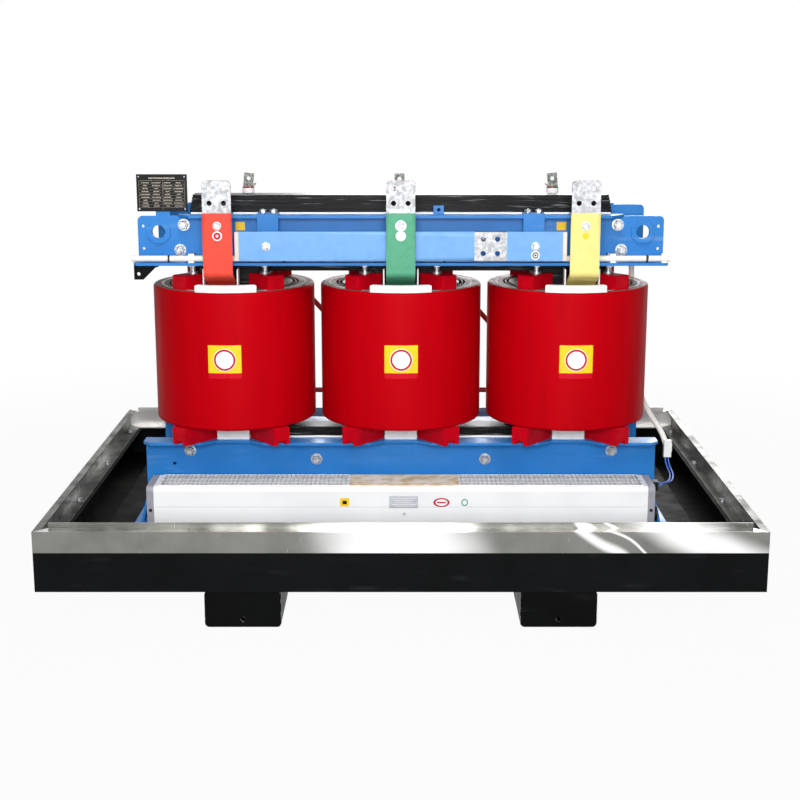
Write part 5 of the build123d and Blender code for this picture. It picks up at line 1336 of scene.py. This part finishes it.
@dataclass
class SmallTrim:
    """White caps of the high voltage posts, the nameplate's rivets and the fan's plugs.

    Attributes:
        cap_radius: of a post's cap.
        cap_height: of a post's cap.
        rivet_radius: of a rivet's head.
    """

    cap_radius: float = 18.4 * MM
    cap_height: float = 20 * MM
    rivet_radius: float = 2.6 * MM

    def domes(self, name: str, finish: Finish, radius: float, height: float, share: float,
              seats: Seats) -> None:
        """Makes low round heads: a wall and a tapered top.

        Args:
            name: of the piece.
            finish: of the piece.
            radius: of the head.
            height: of the head.
            share: part of the height that tapers.
            seats: place and facing of each head.
        """
        form = NodeForm(name)
        wide, tall = form.size("Radius", radius), form.size("Height", height)
        taper = calculate(form.tree, "MULTIPLY", tall, share)
        wall = calculate(form.tree, "SUBTRACT", tall, taper)
        crown = form.prism(24, wide, taper, top=calculate(form.tree, "MULTIPLY", wide, 0.72), rise=wall)
        shape = form.scatter(form.join(form.prism(24, wide, wall), crown))
        keep(name, form.build(shape, finish, seats), finish)

    def build(self) -> None:
        """Makes the caps, rivets and plugs."""
        up, forward = (0, 0, 1), (0, -1, 0)
        caps = [(((low[0] + high[0]) / 2, (low[1] + high[1]) / 2, high[2] - self.cap_height), up)
                for low, high in islands("hv_posts")]
        self.domes("post_caps", VINYL_WHITE, self.cap_radius, self.cap_height, 0.2, caps)
        low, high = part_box("nameplate")
        corners = [((x, low[1], z), forward) for x in (low[0] + 7 * MM, high[0] - 7 * MM)
                   for z in (low[2] + 7 * MM, high[2] - 7 * MM)]
        self.domes("nameplate_rivets", ZINC, self.rivet_radius, 1.4 * MM, 0.6, corners)
        low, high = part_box("fan_end_caps")
        plugs = [((x, low[1], (low[2] + high[2]) / 2 - 8 * MM), forward)
                 for x in (low[0] + 10 * MM, high[0] - 10 * MM)]
        self.domes("fan_cap_plugs", BLACK_TIE, 5 * MM, 1.2 * MM, 0.5, plugs)


def dress(finish: Finish, *nodes: str) -> None:
    """Gives CAD nodes their finish.

    Args:
        finish: what they are coated with.
        nodes: names of the nodes.
    """
    for name in nodes:
        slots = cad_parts[name].data.materials
        slots.clear()
        slots.append(finish.material())
        log.info("dressed %s with %s", name, finish.name)


def main() -> None:
    """Builds the studio and dresses the object."""
    logging.basicConfig(level=logging.INFO, format="%(message)s")
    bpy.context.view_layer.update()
    Studio().build()
    dress(SKID_COAT, "skid_left", "skid_right")
    dress(BLACK_COAT, "channel_front", "channel_rear", "end_brackets")
    dress(FLOOR_COAT, "floor_plate", "channel_left", "channel_right", "support_beams")
    dress(FRONT_STAINLESS, "rail_front")
    dress(REAR_STAINLESS, "rail_rear")
    dress(SIDE_STAINLESS, "rail_left", "rail_right")
    dress(ZINC, "rail_bolts", "clamp_bolts", "pressing_bolts", "bar_bolts")
    dress(CORE, "core_leg_left", "core_leg_middle", "core_leg_right", "core_yoke_upper", "core_yoke_lower")
    dress(BLUE, "clamp_upper_front", "clamp_upper_rear", "clamp_lower_front", "clamp_lower_rear", "feet",
          "bar_straps")
    for side in ("left", "middle", "right"):
        low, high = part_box(f"lv_coil_{side}")
        dress(CoilResin(f"red_cast_resin_{side}", "coil_red", "#BC000E", 0.46, shade="#A4000A", gloss=0.04,
                        centre=(low[0] + high[0]) / 2), f"hv_coil_{side}")
    dress(FOIL_END, "lv_coil_left", "lv_coil_middle", "lv_coil_right")
    dress(BLOCK_RED, "lower_support_blocks", "upper_support_blocks")
    dress(WHITE_BOARD, "insulation_boards", "coil_wedges", "edge_guards")
    dress(BARRIER, "barrier_cylinders")
    dress(TINNED_BAR, "phase_bar_red", "phase_bar_green", "phase_bar_yellow", "neutral_bar")
    dress(STAND_OFF, "bar_insulators")
    dress(PLATE_BLACK, "nameplate")
    dress(POST_RED, "hv_posts")
    dress(TINNED, "hv_terminals")
    dress(ROD_RED, "delta_links")
    dress(BRASS, "tap_links")
    dress(FAN_WHITE, "fan_housing", "fan_grilles")
    dress(FAN_GREY, "fan_end_caps")
    dress(PASSIVATED, "fan_motor_cover")
    dress(BLACK_ABS, "fan_motor", "fan_terminals")
    dress(DRUM, "fan_rotor")
    dress(CREAM, "cable_sleeves")
    dress(NYLON, "cable_fittings")
    dress(BLUE_WIRE, "fan_wires")
    bolt_everything()
    BarSleeves().build()
    for sheet in (coil_labels(), bar_stickers(), neutral_sticker(), clamp_stickers(), fan_labels(),
                  plate_print()):
        sheet.build()
    LeadSleeve().build()
    FanMesh().build()
    SmallTrim().build()


if __name__ == "__main__":
    main()
